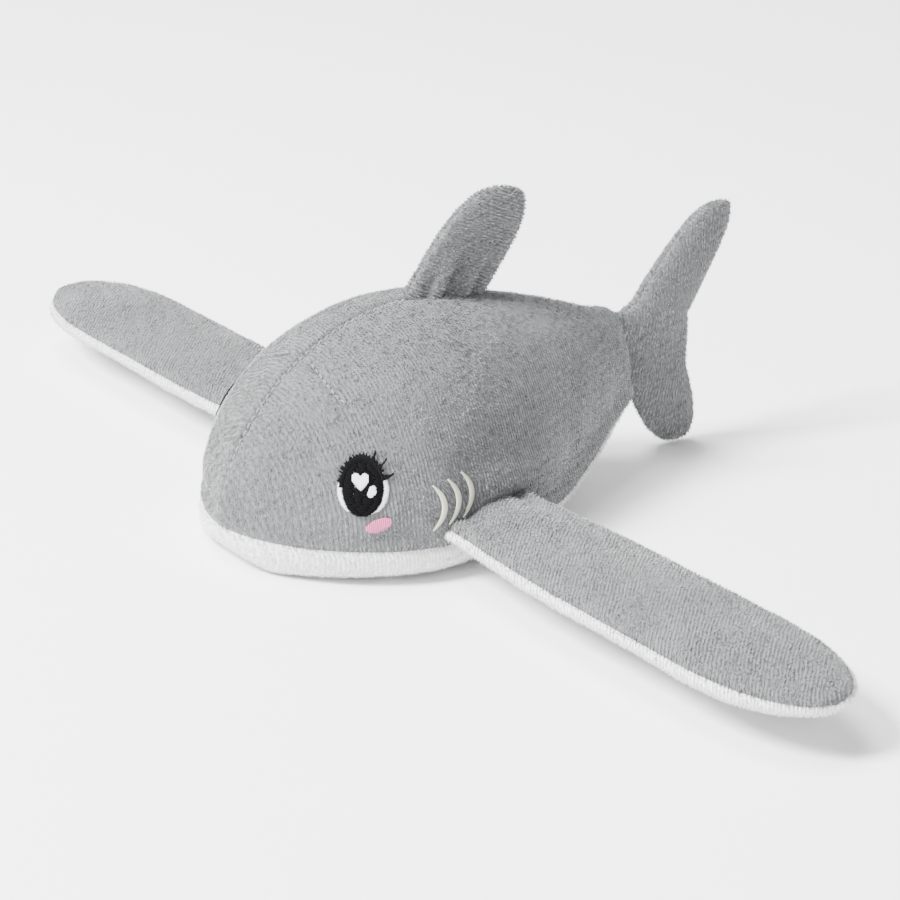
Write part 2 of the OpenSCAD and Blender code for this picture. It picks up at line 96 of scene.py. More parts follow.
BACK_X = -26.707         # middle of the back fin's hinge
BACK_Z = 61.172
BACK_SLOPE = math.radians(8.132)
BACK_R = 4.3             # half its thickness
BACK_GAP = 0.3
BACK_BASE = 28.0
BACK_LENGTH = 29.5 - BACK_R - BACK_GAP
BACK_RAKE = 13.5
BACK_SINK = 5.8          # its skin starts this far inside the body's crest
# Folds at its base: place along it, depth, half width and reach upwards.
BACK_FOLDS = ((2.6, 2.4, 1.1, 12.0), (-6.4, 2.4, 1.3, 8.0), (8.8, 0.5, 1.2, 4.0))

TAIL_HEIGHT = 71.5
TAIL_CHORD = 23.0
TAIL_R = 5.5             # half its thickness
TAIL_MID = TAIL_HEIGHT / 2
TAIL_HINGE_X = -89.8
TAIL_CENTRE = TAIL_HINGE_X + TAIL_R - TAIL_CHORD / 2
TAIL_REACH = 6.5         # its root reaches this far forwards, into the end of the body

EYE_X, EYE_Z = NOSE_X - 23.7, 26.7
EYE_W, EYE_H = 10.9, 14.9
GROUND_AT = (0.2, -0.5)  # the white ground's middle, from the eye's
GROUND_A, GROUND_B = EYE_W * 0.61, EYE_H * 0.465
LASHES = ((64, 2.5), (43, 3.0), (20, 2.8))         # place round the eye in degrees, and length
CHEEK_DOWN, CHEEK_BACK = 9.3, 1.9                  # the cheek patch's middle, from the eye's
CHEEK_A, CHEEK_B = 3.5, 1.5
CHEEK_TURN = math.radians(20)
GILL_X, GILL_Z = NOSE_X - 39.9, 20.7
DART = ((22.7, 5.1, 52.1), (23.7, 19.6, 47.1), (22.4, 24.3, 45.3))   # its seam on the left side
STITCH, STITCH_STEP = 1.55, 2.3                    # a stitch of the crest seam, and to the next

# Most tufts that a panel takes, which keeps its mesh under 200,000 triangles.
BACK_TUFTS, BELLY_TUFTS, FIN_TUFTS, BACK_FIN_TUFTS, TAIL_TUFTS = 38500, 36000, 46000, 9000, 14000
SIDES = (("left", 1), ("right", -1))


def hex_colour(code):
    """An sRGB hex colour as linear values with alpha."""
    parts = [int(code[i:i + 2], 16) / 255 for i in (0, 2, 4)]
    return tuple(c / 12.92 if c <= 0.04045 else ((c + 0.055) / 1.055) ** 2.4 for c in parts) + (1.0,)


# ---------------------------------------------------------------- settings
class SharkPile(bpy.types.PropertyGroup):
    """The pile fabric."""
    length: FloatProperty(name="Pile length", description="Length of one tuft of pile",
                          default=0.00105, min=0.0005, max=0.004, unit="LENGTH")
    width: FloatProperty(name="Tuft width", description="Width of a tuft at its root",
                         default=0.0003, min=0.0001, max=0.001, unit="LENGTH")
    density: FloatProperty(name="Tufts per square mm", description="Tufts on a square millimetre of skin",
                           default=5.0, min=0.5, max=8.0)
    wale: FloatProperty(name="Wale pitch", description="Spacing of the knitted rows that the pile is in",
                        default=0.00095, min=0.0005, max=0.002, unit="LENGTH")
    rise: FloatProperty(name="Pile angle", description="How steeply the pile stands off the backing",
                        default=math.radians(27), min=0.1, max=1.5, subtype="ANGLE")


class SharkSewing(bpy.types.PropertyGroup):
    """Seams and embroidery."""
    seam_depth: FloatProperty(name="Seam depth", description="How far a seam pulls the skin in",
                              default=0.0013, min=0.0, max=0.0015, unit="LENGTH")
    seam_width: FloatProperty(name="Seam width", description="Reach of the dip beside a seam",
                              default=0.0011, min=0.0005, max=0.003, unit="LENGTH")
    pitch: FloatProperty(name="Stitch pitch", description="Spacing of neighbouring satin stitches",
                         default=0.00042, min=0.0003, max=0.001, unit="LENGTH")
    thread: FloatProperty(name="Thread width", description="Width of the embroidery thread",
                          default=0.00046, min=0.0002, max=0.001, unit="LENGTH")


class SharkColours(bpy.types.PropertyGroup):
    """Colours of the two pile fabrics."""
    grey: FloatVectorProperty(name="Grey pile", description="Tips of the grey pile",
                              subtype="COLOR", size=3, min=0, max=1, default=hex_colour("b6b8ba")[:3])
    white: FloatVectorProperty(name="White pile", description="Tips of the white pile",
                               subtype="COLOR", size=3, min=0, max=1, default=hex_colour("f5f5f4")[:3])


# ---------------------------------------------------------------- materials
def add_node(tree, kind, inputs=(), **settings):
    """Adds a node, sets its properties, and fills or links its inputs."""
    node = tree.nodes.new(kind)
    for name, value in settings.items():
        setattr(node, name, value)
    for name, value in dict(inputs).items():
        if isinstance(value, bpy.types.NodeSocket):
            tree.links.new(value, node.inputs[name])
        else:
            node.inputs[name].default_value = value
    return node


def start_material(name, **shader):
    """A material with one Principled shader whose plain values are given. The
    tree is None where the material was made before."""
    material = bpy.data.materials.get(name)
    if material:
        return material, None, None
    material = bpy.data.materials.new(name)
    material.use_nodes = True
    tree = material.node_tree
    tree.nodes.clear()
    base = add_node(tree, "ShaderNodeBsdfPrincipled", shader)
    add_node(tree, "ShaderNodeOutputMaterial", {"Surface": base.outputs[0]})
    return material, tree, base


def pile_fibre(name, root, tip, sheen, spread):
    """Brushed polyester pile: matt fibres with their roots painted darker than their tips, as shade
    among the tufts, and painted sheen in soft patches where a hand has stroked them one way or the other."""
    material, tree, base = start_material(
        name, **{"Roughness": 0.85, "IOR": 1.5, "Specular IOR Level": 0.25,
                 "Sheen Weight": sheen, "Sheen Roughness": 0.45})
    if not tree:
        return material
    place = add_node(tree, "ShaderNodeTexCoord").outputs["Object"]
    along = add_node(tree, "ShaderNodeAttribute", attribute_name="pile_tip").outputs["Fac"]
    shade = add_node(tree, "ShaderNodeAttribute", attribute_name="pile_shade").outputs["Fac"]
    # Patches of painted sheen, lighter or darker where the pile is stroked one way or the other, are 10 to 20
    # mm across: 70 cycles to the metre.
    patch = add_node(tree, "ShaderNodeTexNoise", {"Vector": place, "Scale": 70.0, "Detail": 2.0,
                                                  "Roughness": 0.5}).outputs["Fac"]
    # Painted shade: the roots are darker than the tips.
    colour = add_node(tree, "ShaderNodeMix", {"Factor": along, "A": root, "B": tip},
                      data_type="RGBA").outputs["Result"]
    tone = add_node(tree, "ShaderNodeMapRange", {"Value": patch, "From Min": 0.3, "From Max": 0.7,
                                                 "To Min": 1 - 0.24 * spread,
                                                 "To Max": 1 + 0.16 * spread}).outputs["Result"]
    # Each tuft's pile_shade value: painted shade between the wales, with grain and random tone.
    tuft = add_node(tree, "ShaderNodeMapRange", {"Value": shade, "To Min": 1 - 0.72 * spread,
                                                 "To Max": 1 + 0.5 * spread}).outputs["Result"]
    both = add_node(tree, "ShaderNodeMath", {0: tone, 1: tuft}, operation="MULTIPLY").outputs[0]
    final = add_node(tree, "ShaderNodeVectorMath", {0: colour, "Scale": both}, operation="SCALE").outputs[0]
    tree.links.new(final, base.inputs["Base Color"])
    return material


def knit_backing(name, colour, direction):
    """Warp-knitted polyester backing: rows of small loops that show between the
    tufts as fine ribs, one wale pitch apart, with painted shade where the ribs and loops are low."""
    material, tree, base = start_material(
        name, **{"Roughness": 0.95, "IOR": 1.5, "Specular IOR Level": 0.15,
                 "Sheen Weight": 0.3, "Sheen Roughness": 0.5})
    if not tree:
        return material
    wale = bpy.context.scene.shark_pile.wale
    place = add_node(tree, "ShaderNodeTexCoord").outputs["Object"]
    # The rows wander over some 6 mm: 160 cycles to the metre.
    sway = add_node(tree, "ShaderNodeTexNoise", {"Vector": place, "Scale": 160.0, "Detail": 1.0})
    across = add_node(tree, "ShaderNodeVectorMath", {0: place, 1: direction}, operation="DOT_PRODUCT")
    turns = add_node(tree, "ShaderNodeMath", {0: across.outputs["Value"], 1: 2 * math.pi / wale},
                     operation="MULTIPLY")
    turned = add_node(tree, "ShaderNodeMath", {0: sway.outputs["Fac"], 1: 3.0, 2: turns.outputs[0]},
                      operation="MULTIPLY_ADD")
    rib = add_node(tree, "ShaderNodeMath", {0: turned.outputs[0]}, operation="COSINE")
    loops = add_node(tree, "ShaderNodeTexVoronoi", {"Vector": place, "Scale": 1.0 / wale})
    height = add_node(tree, "ShaderNodeMath", {0: rib.outputs[0], 1: 0.6, 2: loops.outputs["Distance"]},
                      operation="MULTIPLY_ADD").outputs[0]
    # Painted shade: the backing's colour is darker where the ribs and loops are low.
    tone = add_node(tree, "ShaderNodeMapRange", {"Value": height, "From Min": -0.6, "From Max": 1.2,
                                                 "To Min": 0.62, "To Max": 1.05}).outputs["Result"]
    final = add_node(tree, "ShaderNodeVectorMath", {0: colour, "Scale": tone}, operation="SCALE").outputs[0]
    bump = add_node(tree, "ShaderNodeBump",
                    {"Height": height, "Strength": 0.5, "Distance": 0.0002}).outputs[0]
    tree.links.new(final, base.inputs["Base Color"])
    tree.links.new(bump, base.inputs["Normal"])
    return material


def satin_thread(name, colour, dark, gloss=0.35):
    """Rayon embroidery thread: twisted, so its soft shine is broken up finely by its
    plies, and its colour is painted darker where the plies dip, as shade between them."""
    material, tree, base = start_material(
        name, **{"Roughness": 0.6, "IOR": 1.5, "Specular IOR Level": gloss})
    if not tree:
        return material
    place = add_node(tree, "ShaderNodeTexCoord").outputs["Object"]
    # The plies turn every 0.5 mm: 2000 to the metre.
    ply = add_node(tree, "ShaderNodeTexNoise",
                   {"Vector": place, "Scale": 2000.0, "Detail": 1.0}).outputs["Fac"]
    # Painted shade: the darker colour goes where the plies' bump is low.
    final = add_node(tree, "ShaderNodeMix", {"Factor": ply, "A": hex_colour(dark), "B": hex_colour(colour)},
                     data_type="RGBA").outputs["Result"]
    bump = add_node(tree, "ShaderNodeBump", {"Height": ply, "Strength": 0.4, "Distance": 0.00008}).outputs[0]
    tree.links.new(final, base.inputs["Base Color"])
    tree.links.new(bump, base.inputs["Normal"])
    return material


def fibre_filling():
    """Loose hollow polyester fibre: white, with soft clumps a few millimetres across, painted darker between
    the clumps as shade.
    """
    material, tree, base = start_material(
        "hollow_polyester_filling", **{"Roughness": 1.0, "Sheen Weight": 0.4, "Specular IOR Level": 0.1})
    if tree:
        place = add_node(tree, "ShaderNodeTexCoord").outputs["Object"]
        clump = add_node(tree, "ShaderNodeTexNoise",
                         {"Vector": place, "Scale": 260.0, "Detail": 6.0}).outputs["Fac"]
        # Painted shade: darker where the clumps' bump is low.
        colour = add_node(tree, "ShaderNodeMix",
                          {"Factor": clump, "A": hex_colour("d9d6cf"), "B": hex_colour("f6f4ef")},
                          data_type="RGBA").outputs["Result"]
        bump = add_node(tree, "ShaderNodeBump",
                        {"Height": clump, "Strength": 0.8, "Distance": 0.001}).outputs[0]
        tree.links.new(colour, base.inputs["Base Color"])
        tree.links.new(bump, base.inputs["Normal"])
    return material


def film_cover():
    """Thin matt film welded round a spring steel strip: satin, faintly creased, with painted shade darkening
    the hollows of its creases.
    """
    material, tree, base = start_material(
        "matt_film_over_spring_steel", **{"IOR": 1.48, "Specular IOR Level": 0.5, "Coat Weight": 0.1})
    if tree:
        place = add_node(tree, "ShaderNodeTexCoord").outputs["Object"]
        crease = add_node(tree, "ShaderNodeTexNoise",
                          {"Vector": place, "Scale": 180.0, "Detail": 3.0}).outputs["Fac"]
        # Painted shade: darker where the creases' bump is low.
        colour = add_node(tree, "ShaderNodeMix",
                          {"Factor": crease, "A": hex_colour("c2c5ca"), "B": hex_colour("d8dade")},
                          data_type="RGBA").outputs["Result"]
        rough = add_node(tree, "ShaderNodeMapRange",
                         {"Value": crease, "To Min": 0.35, "To Max": 0.55}).outputs["Result"]
        bump = add_node(tree, "ShaderNodeBump",
                        {"Height": crease, "Strength": 0.2, "Distance": 0.0003}).outputs[0]
        tree.links.new(colour, base.inputs["Base Color"])
        tree.links.new(rough, base.inputs["Roughness"])
        tree.links.new(bump, base.inputs["Normal"])
    return material


# ---------------------------------------------------------------- pattern shapes
def row(points):
    """Millimetres in the maker's frame to metres in the row frame."""
    return (np.asarray(points, float) + (X_SHIFT, 0, 0)) / 1000


def rounded(r, power):
    """A superellipse quarter: 1 at the middle, 0 at the rim."""
    return np.maximum(0, 1 - np.clip(r, 0, 1) ** power) ** (1 / power)


def signed_power(v, e):
    """A power that keeps the sign, which squares or rounds a section."""
    return np.sign(v) * np.abs(v) ** e


def smooth(a, b, v):
    """A soft step from 0 at a to 1 at b, where a may be above b."""
    t = np.clip((v - a) / (b - a), 0, 1)
    return t * t * (3 - 2 * t)


def top_z(x, d):
    """Height of the crest at x."""
    ahead = rounded((x - CREST_X) / (NOSE_X - d - CREST_X), 1.85)
    behind = np.clip((CREST_X - x) / (CREST_X - TAIL_X), 0, 1) ** 1.85
    front = NOSE_HEIGHT + (BODY_HEIGHT - d - NOSE_HEIGHT) * ahead
    rear = BODY_HEIGHT - d - (BODY_HEIGHT - TAIL_ROOT_TOP) * behind
    return np.where(x > CREST_X, front, rear)


def half_y(x, d):
    """Half the body's width at x."""
    behind = np.clip((WIDE_X - x) / (WIDE_X - TAIL_X), 0, 1) ** 1.65
    front = (BODY_WIDTH / 2 - d) * rounded((x - WIDE_X) / (NOSE_X - d - WIDE_X), 1.75)
    rear = BODY_WIDTH / 2 - d - (BODY_WIDTH - TAIL_ROOT_WIDTH) / 2 * behind
    return np.where(x > WIDE_X, front, rear)


def low_z(x, d):
    """Height of the belly at x."""
    front = d + (NOSE_HEIGHT - d) * (1 - rounded((x - FLAT_FRONT) / (NOSE_X - d - FLAT_FRONT), 1.6))
    rear = d + TAIL_ROOT_BOTTOM * np.clip((FLAT_BACK - x) / (FLAT_BACK - TAIL_X), 0, 1) ** 1.65
    return np.where(x > FLAT_FRONT, front, rear)


def seam_z(x):
    """Height of the side seam at x. It sinks to the bottom edge behind the side fins."""
    front = NOSE_HEIGHT + (SEAM_HEIGHT - NOSE_HEIGHT) * rounded(1 - np.clip((NOSE_X - x) / 35, 0, 1), 2)
    rear = low_z(x, 0) + SEAM_LOW + (SEAM_HEIGHT - SEAM_LOW) * smooth(-46, -8, x)
    return np.where(x > WIDE_X, front, rear)


def body_surface(u, a, d):
    """Body skin at u from nose (0) to tail seam (1) and at angle a, 0 on the left
    seam and 90 degrees on the crest, d millimetres inside the pile's surface."""
    nose = NOSE_X - d
    x = nose + (TAIL_X - nose) * u * u * (1.35 - 0.35 * u)
    b = np.maximum(0.02, half_y(x, d))
    zt = np.maximum(NOSE_HEIGHT + 0.02, top_z(x, d))
    zb = np.minimum(NOSE_HEIGHT - 0.02, low_z(x, d))
    zb = np.where(x < CREST_X, low_z(x, d), zb)
    zm = np.clip(seam_z(x), zb + 0.01, zt - 0.01)
    up = np.sin(a) >= 0
    e = np.where(up, 1.0, 2 / 4.5)
    rise = signed_power(np.abs(np.sin(a)), e)
    z = np.where(up, zm + (zt - zm) * rise, zm - (zm - zb + 0.6) * rise)
    y = b * signed_power(np.cos(a), e)
    return np.stack([x + 0 * y, y, np.maximum(z, zb)], -1)


def skin_y(x, z):
    """How far out the left side of the skin lies at x and height z."""
    zm, zt = seam_z(x), top_z(x, 0)
    return half_y(x, 0) * np.where(z > zm, rounded((z - zm) / (zt - zm), 2), 1)


def skin_normal(x, z):
    """Outward direction of the left side of the skin."""
    e = 0.5
    n = np.stack([-(skin_y(x + e, z) - skin_y(x - e, z)) / (2 * e), np.ones_like(x),
                  -(skin_y(x, z + e) - skin_y(x, z - e)) / (2 * e)], -1)
    return n / np.linalg.norm(n, axis=-1, keepdims=True)


def on_cheek(x0, z0):
    """The point of the left side of the skin at x0 and height z0."""
    return np.array([x0, float(skin_y(np.array(x0), np.array(z0))), z0])


def cheek_frame(x0, z0):
    """Centre, backward and upward directions of a flat hoop laid on the left cheek."""
    n = skin_normal(np.array(x0), np.array(z0))
    back = np.array([-n[1], n[0], 0]) / math.hypot(n[0], n[1])
    up = np.cross(back, n)
    if up[2] < 0:
        up = -up
    return on_cheek(x0, z0), back, up


def wrap_on_cheek(flat, x0, z0, side):
    """Lays hoop points (back, up, height above the skin) on the cheek, sunk a
    little into the pile."""
    sink = 0.4
    centre, back, up = cheek_frame(x0, z0)
    c = centre + flat[:, :1] * back + flat[:, 1:2] * up
    x, z = c[:, 0], c[:, 2]
    p = np.stack([x, skin_y(x, z), z], -1) + (flat[:, 2:] - sink) * skin_normal(x, z)
    p[:, 1] *= side
    return row(p)


def fin_half_width(s, d):
    """Half a side fin's width at s from its hinge line."""
    start = FIN_LENGTH - FIN_TIP
    tip = (FIN_WIDTH / 2 - d) * rounded((s - start) / (FIN_TIP - d), 2.2)
    narrow = (FIN_WIDTH - FIN_ROOT_WIDTH) / 2
    neck = FIN_WIDTH / 2 - d - narrow * (1 - np.clip(s / (start * 0.5), 0, 1)) ** 2
    return np.maximum(0.03, np.where(s > start, tip, neck))


def fin_half_thick(s, d):
    """Half a side fin's thickness at s from its hinge line."""
    start = FIN_LENGTH - FIN_TIP
    tip = (FIN_THICK / 2 - d) * rounded((s - start) / (FIN_TIP - d), 3)
    root = FIN_THICK / 2 - d - (FIN_THICK - FIN_ROOT_THICK) / 2 * (1 - np.clip(s / 14, 0, 1)) ** 2
    return np.maximum(0.02, np.where(s > start, tip, root))


def fin_surface(s, a, d, side):
    """Fin skin at s millimetres from the hinge line and at angle a round its section."""
    across = fin_half_width(s, d) * signed_power(np.cos(a), 2 / 2.3)
    rise = fin_half_thick(s, d) * signed_power(np.sin(a), 2 / 2.3)
    return fin_to_maker(np.stack([across, s + 0 * a, rise], -1), side)


def fin_to_maker(p, side):
    """A side fin's own frame, along Y from its hinge, to the maker's frame."""
    x, y, z = p[..., 0], p[..., 1], p[..., 2]
    c, s = math.cos(FIN_PITCH), math.sin(FIN_PITCH)
    x, z = x * c + z * s, -x * s + z * c
    return np.stack([x + FIN_X, side * (y + FIN_Y), z + FIN_Z], -1)


def back_fin_surface(q, a, d, side):
    """Back fin skin at q from base (0) to tip (1)."""
    reach = BACK_LENGTH + BACK_SINK
    z = q * (reach - d) - BACK_SINK
    r = np.clip(z / (BACK_LENGTH - d), 0, 1)
    half = np.maximum(0.03, (BACK_BASE / 2 - d) * rounded(r, 2.9))
    thick = np.maximum(0.02, (BACK_R - d) * rounded(r, 2.8))
    x = -BACK_RAKE * z / BACK_LENGTH + half * signed_power(np.cos(a), 2 / 2.2)
    y = side * thick * signed_power(np.sin(a), 2 / 2.2)
    z = z + BACK_R + BACK_GAP
    c, s = math.cos(BACK_SLOPE), math.sin(BACK_SLOPE)
    return np.stack([x * c - z * s + BACK_X, y, x * s + z * c + BACK_Z], -1)


def tail_surface(q, a, d, side):
    """Tail skin at q from the bottom of the lower lobe (-1) to the top of the upper (1)."""
    z = TAIL_MID + (TAIL_MID - d) * q
    r = np.abs(q)
    half = np.maximum(0.03, (TAIL_CHORD / 2 - d) * rounded(r, 3))
    thick = np.maximum(0.02, (TAIL_R - d) * rounded(r, 2.2))
    x = TAIL_CENTRE - 0.72 * np.maximum(0, z - TAIL_MID * 1.12) - 0.33 * np.maximum(0, TAIL_MID * 0.7 - z)
    return np.stack([x + half * signed_power(np.cos(a), 2 / 2.2),
                     side * thick * signed_power(np.sin(a), 2 / 2.2), z + 0 * a], -1)


# ---------------------------------------------------------------- mesh tools
def swell(points, wave, seed, count=7):
    """Smooth noise of about -1 to 1, with features about wave millimetres across."""
    rng = np.random.default_rng(seed)
    total = np.zeros(points.shape[:-1])
    for _ in range(count):
        k = rng.normal(size=3)
        k *= 2 * math.pi / (wave * rng.uniform(0.8, 2.2)) / np.linalg.norm(k)
        total += np.sin(points @ k + rng.uniform(0, 2 * math.pi))
    return total / count * 1.6


def grid_normals(grid):
    """Outward normals of a grid of points, found from its neighbours."""
    du = np.gradient(grid, axis=0)
    dv = np.gradient(grid, axis=1)
    n = np.cross(du, dv)
    length = np.linalg.norm(n, axis=-1, keepdims=True)
    n = n / np.maximum(length, 1e-9)
    middle = grid.reshape(-1, 3).mean(0)
    if ((grid - middle) * n).sum() < 0:
        n = -n
    return n


def shell_faces(m, n):
    """Quads of a closed shell, which are its outer grid, its inner grid and the
    rim between them, and the points of that rim."""
    at = np.arange(m * n).reshape(m, n)
    outer = np.stack([at[:-1, :-1], at[1:, :-1], at[1:, 1:], at[:-1, 1:]], -1).reshape(-1, 4)
    inner = outer[:, ::-1] + m * n
    loop = np.concatenate([at[:, 0], at[-1, 1:], at[-2::-1, -1], at[0, -2:0:-1]])
    after = np.roll(loop, -1)
    rim = np.stack([loop + m * n, after + m * n, after, loop], -1)
    return np.concatenate([outer, inner, rim]), loop


def signed_volume(points, quads):
    """Above 0 where the quads of a closed shell face outwards."""
    a, b, c, d = (points[quads[:, i]] for i in range(4))
    return (np.einsum("ij,ij->i", a, np.cross(b, c)) + np.einsum("ij,ij->i", a, np.cross(c, d))).sum()


def mesh_object(name, points, quads, tris, materials, kinds, sharp, values):
    """A smooth-shaded mesh object from arrays, with its object at the origin."""
    mesh = bpy.data.meshes.new(name)
    corners = np.concatenate([quads.ravel(), tris.ravel()])
    starts = np.concatenate([np.arange(len(quads)) * 4, 4 * len(quads) + np.arange(len(tris)) * 3])
    mesh.vertices.add(len(points))
    mesh.vertices.foreach_set("co", points.astype(np.float32).ravel())
    mesh.loops.add(len(corners))
    mesh.loops.foreach_set("vertex_index", corners.astype(np.int32))
    mesh.polygons.add(len(starts))
    mesh.polygons.foreach_set("loop_start", starts.astype(np.int32))
    mesh.polygons.foreach_set("material_index", kinds.astype(np.int32))
    mesh.polygons.foreach_set("use_smooth", np.ones(len(starts), bool))
    mesh.update(calc_edges=True)
    ends = np.zeros(len(mesh.edges) * 2, np.int32)
    mesh.edges.foreach_get("vertices", ends)
    edge_sharp = sharp[ends.reshape(-1, 2)].all(1)
    mesh.attributes.new("sharp_edge", "BOOLEAN", "EDGE").data.foreach_set("value", edge_sharp)
    for label, data in values.items():
        mesh.attributes.new(label, "FLOAT", "POINT").data.foreach_set("value", data.astype(np.float32))
    for material in materials:
        mesh.materials.append(material)
    piece = bpy.data.objects.new(name, mesh)
    bpy.context.scene.collection.objects.link(piece)
    return piece


def comb_pile(grid, normals, across, seed, keep, floor, cap):
    """Tufts of brushed pile over a skin: each is a closed four-faced sliver. They
    stand in wales across the direction given and lean along them. keep says
    which roots stay, floor holds them off the ground and cap is the most there are."""
    pile = bpy.context.scene.shark_pile
    rng = np.random.default_rng(seed)
    length, width, wale = pile.length * 1000, pile.width * 1000, pile.wale * 1000
    p00, p10, p11, p01 = grid[:-1, :-1], grid[1:, :-1], grid[1:, 1:], grid[:-1, 1:]
    area = np.linalg.norm(np.cross(p11 - p00, p01 - p10), axis=-1).ravel() / 2
    count = int(min(cap, area.sum() * pile.density * (1)))
    cell = rng.choice(len(area), count, p=area / area.sum())
    i, j = np.divmod(cell, grid.shape[1] - 1)
    s, t = rng.random((2, count, 1))

    def within(g):
        """The values at the tufts' roots, between the corners of their cells."""
        return ((1 - s) * ((1 - t) * g[i, j] + t * g[i, j + 1])
                + s * ((1 - t) * g[i + 1, j] + t * g[i + 1, j + 1]))

    root, n = within(grid), within(normals)
    n /= np.maximum(np.linalg.norm(n, axis=1, keepdims=True), 1e-9)
    d = np.asarray(across, float) / np.linalg.norm(across)
    g = d - (n @ d)[:, None] * n
    steep = (g * g).sum(1)
    # Each wale wanders a little, and its tufts are pulled towards its middle.
    sway = 0.35 * wale * swell(root, 14, 5) + 0.32 * wale * swell(root, 4, 6)
    off = (root @ d + sway) / wale
    off = (off - np.round(off)) * wale
    # Each tuft's tone: painted shade darkens the tufts between the wales, and a fine grain and random tone
    # vary it further.
    tone = np.clip(0.5 + 0.3 * np.cos(2 * math.pi * off / wale) * np.clip(steep, 0, 1)
                   + 0.38 * swell(root, 1.1, 9) + 0.2 * rng.uniform(-1, 1, count), 0, 1)
    pull = np.clip((steep - 0.25) / 0.3, 0, 1) * rng.uniform(0.1, 0.8, count)
    root = root - (off * pull / np.maximum(steep, 0.2))[:, None] * g
    along = np.cross(n, d)
    along /= np.maximum(np.linalg.norm(along, axis=1, keepdims=True), 1e-6)
    beside = np.cross(n, along)
    # A hand has stroked them: they turn and rise together over 20 to 30 mm.
    turn = 0.5 * swell(root, 30, 11) + rng.normal(0, 0.28, count)
    rise = np.clip(pile.rise + 0.14 * swell(root, 22, 12) + rng.normal(0, 0.13, count), 0.2, 1.3)
    lean = np.cos(turn)[:, None] * along + np.sin(turn)[:, None] * beside
    lean = np.cos(rise)[:, None] * lean + np.sin(rise)[:, None] * n
    if keep is not None:
        mask = keep(root)
        root, n, along, beside, lean, tone = (v[mask] for v in (root, n, along, beside, lean, tone))
        count = len(root)
    far = root + lean * (length * rng.uniform(0.7, 1.15, count))[:, None]
    spin = rng.uniform(0, 2 * math.pi, count)
    points = np.empty((count, 4, 3))
    sunk, radius = 0.12, width / 2 * 1.15
    for k in range(3):
        angle = spin + k * 2 * math.pi / 3
        points[:, k] = (root - sunk * n + radius
                        * (np.cos(angle)[:, None] * along + np.sin(angle)[:, None] * beside))
    points[:, 3] = far
    if floor:
        points[..., 2] = np.maximum(points[..., 2], 0.02)
    first = np.arange(count)[:, None] * 4
    tris = (first[:, None] + np.array([[0, 1, 3], [1, 2, 3], [2, 0, 3], [0, 2, 1]])).reshape(-1, 3)
    one, two, three = points[0, 1:] - points[0, 0]
    if np.dot(np.cross(one, two), three) < 0:
        tris = tris[:, ::-1]
    tip = np.tile([0.0, 0.0, 0.0, 1.0], count)
    shade = np.repeat(tone, 4)
    return points.reshape(-1, 3), tris, tip, shade


def pile_skin(name, outer, inner, across, white, seed, place, keep=None, floor=False, cap=FIN_TUFTS):
    """One sewn panel: a closed shell of knitted backing with its pile combed over
    it. across is the direction that its wales are counted in, and place names it."""
    m, n, _ = outer.shape
    quads, loop = shell_faces(m, n)
    skin = np.concatenate([outer.reshape(-1, 3), inner.reshape(-1, 3)])
    if signed_volume(skin, quads) < 0:
        quads = quads[:, ::-1]
    tufts, tris, tip, shade = comb_pile(outer, grid_normals(outer), across, seed, keep, floor, cap)
    sharp = np.zeros(len(skin) + len(tufts), bool)
    sharp[loop] = True
    sharp[loop + m * n] = True
    if floor:
        skin[:, 2] = np.maximum(skin[:, 2], 0.01)
    colours = bpy.context.scene.shark_colours
    # The backing and the roots of the tufts are painted darker than the tips, as shade under and among the
    # pile, more so in grey.
    if white:
        colour, word, deep, root, sheen, spread = tuple(colours.white), "white", 0.92, 0.95, 0.1, 0.12
    else:
        colour, word, deep, root, sheen, spread = tuple(colours.grey), "grey", 0.3, 0.26, 0.15, 1.0
    direction = tuple(float(v) for v in np.asarray(across, float) / np.linalg.norm(across))
    backing = knit_backing(f"{word}_knit_backing_{place}", tuple(deep * c for c in colour), direction)
    fibre = pile_fibre(f"{word}_brushed_pile", (*(root * c for c in colour), 1.0), (*colour, 1.0),
                       sheen, spread)
    kinds = np.concatenate([np.zeros(len(quads)), np.ones(len(tris))])
    plain = np.zeros(len(skin))
    values = {"pile_tip": np.concatenate([plain, tip]),
              "pile_shade": np.concatenate([plain + 0.5, shade])}
    piece = mesh_object(name, row(np.concatenate([skin, tufts])), quads, tris + len(skin),
                        [backing, fibre], kinds, sharp, values)
    return piece


def dip(distance, depth, width):
    """A seam's dip: sharp at the thread, easing out over the width."""
    return depth * np.exp(-(distance / width) ** 2)


def from_ends(grid):
    """Distance from each point to the nearer of the grid's two long edges."""
    return np.minimum(np.linalg.norm(grid - grid[:, :1], axis=-1),
                      np.linalg.norm(grid - grid[:, -1:], axis=-1))


def near_line(points, line):
    """Distance from each point to a line of points, in millimetres."""
    line = np.asarray(line, float)
    best = np.full(points.shape[:-1], 1e9)
    for a, b in zip(line[:-1], line[1:]):
        ab = b - a
        t = np.clip(((points - a) @ ab) / (ab @ ab), 0, 1)
        best = np.minimum(best, np.linalg.norm(points - a - t[..., None] * ab, axis=-1))
    return best


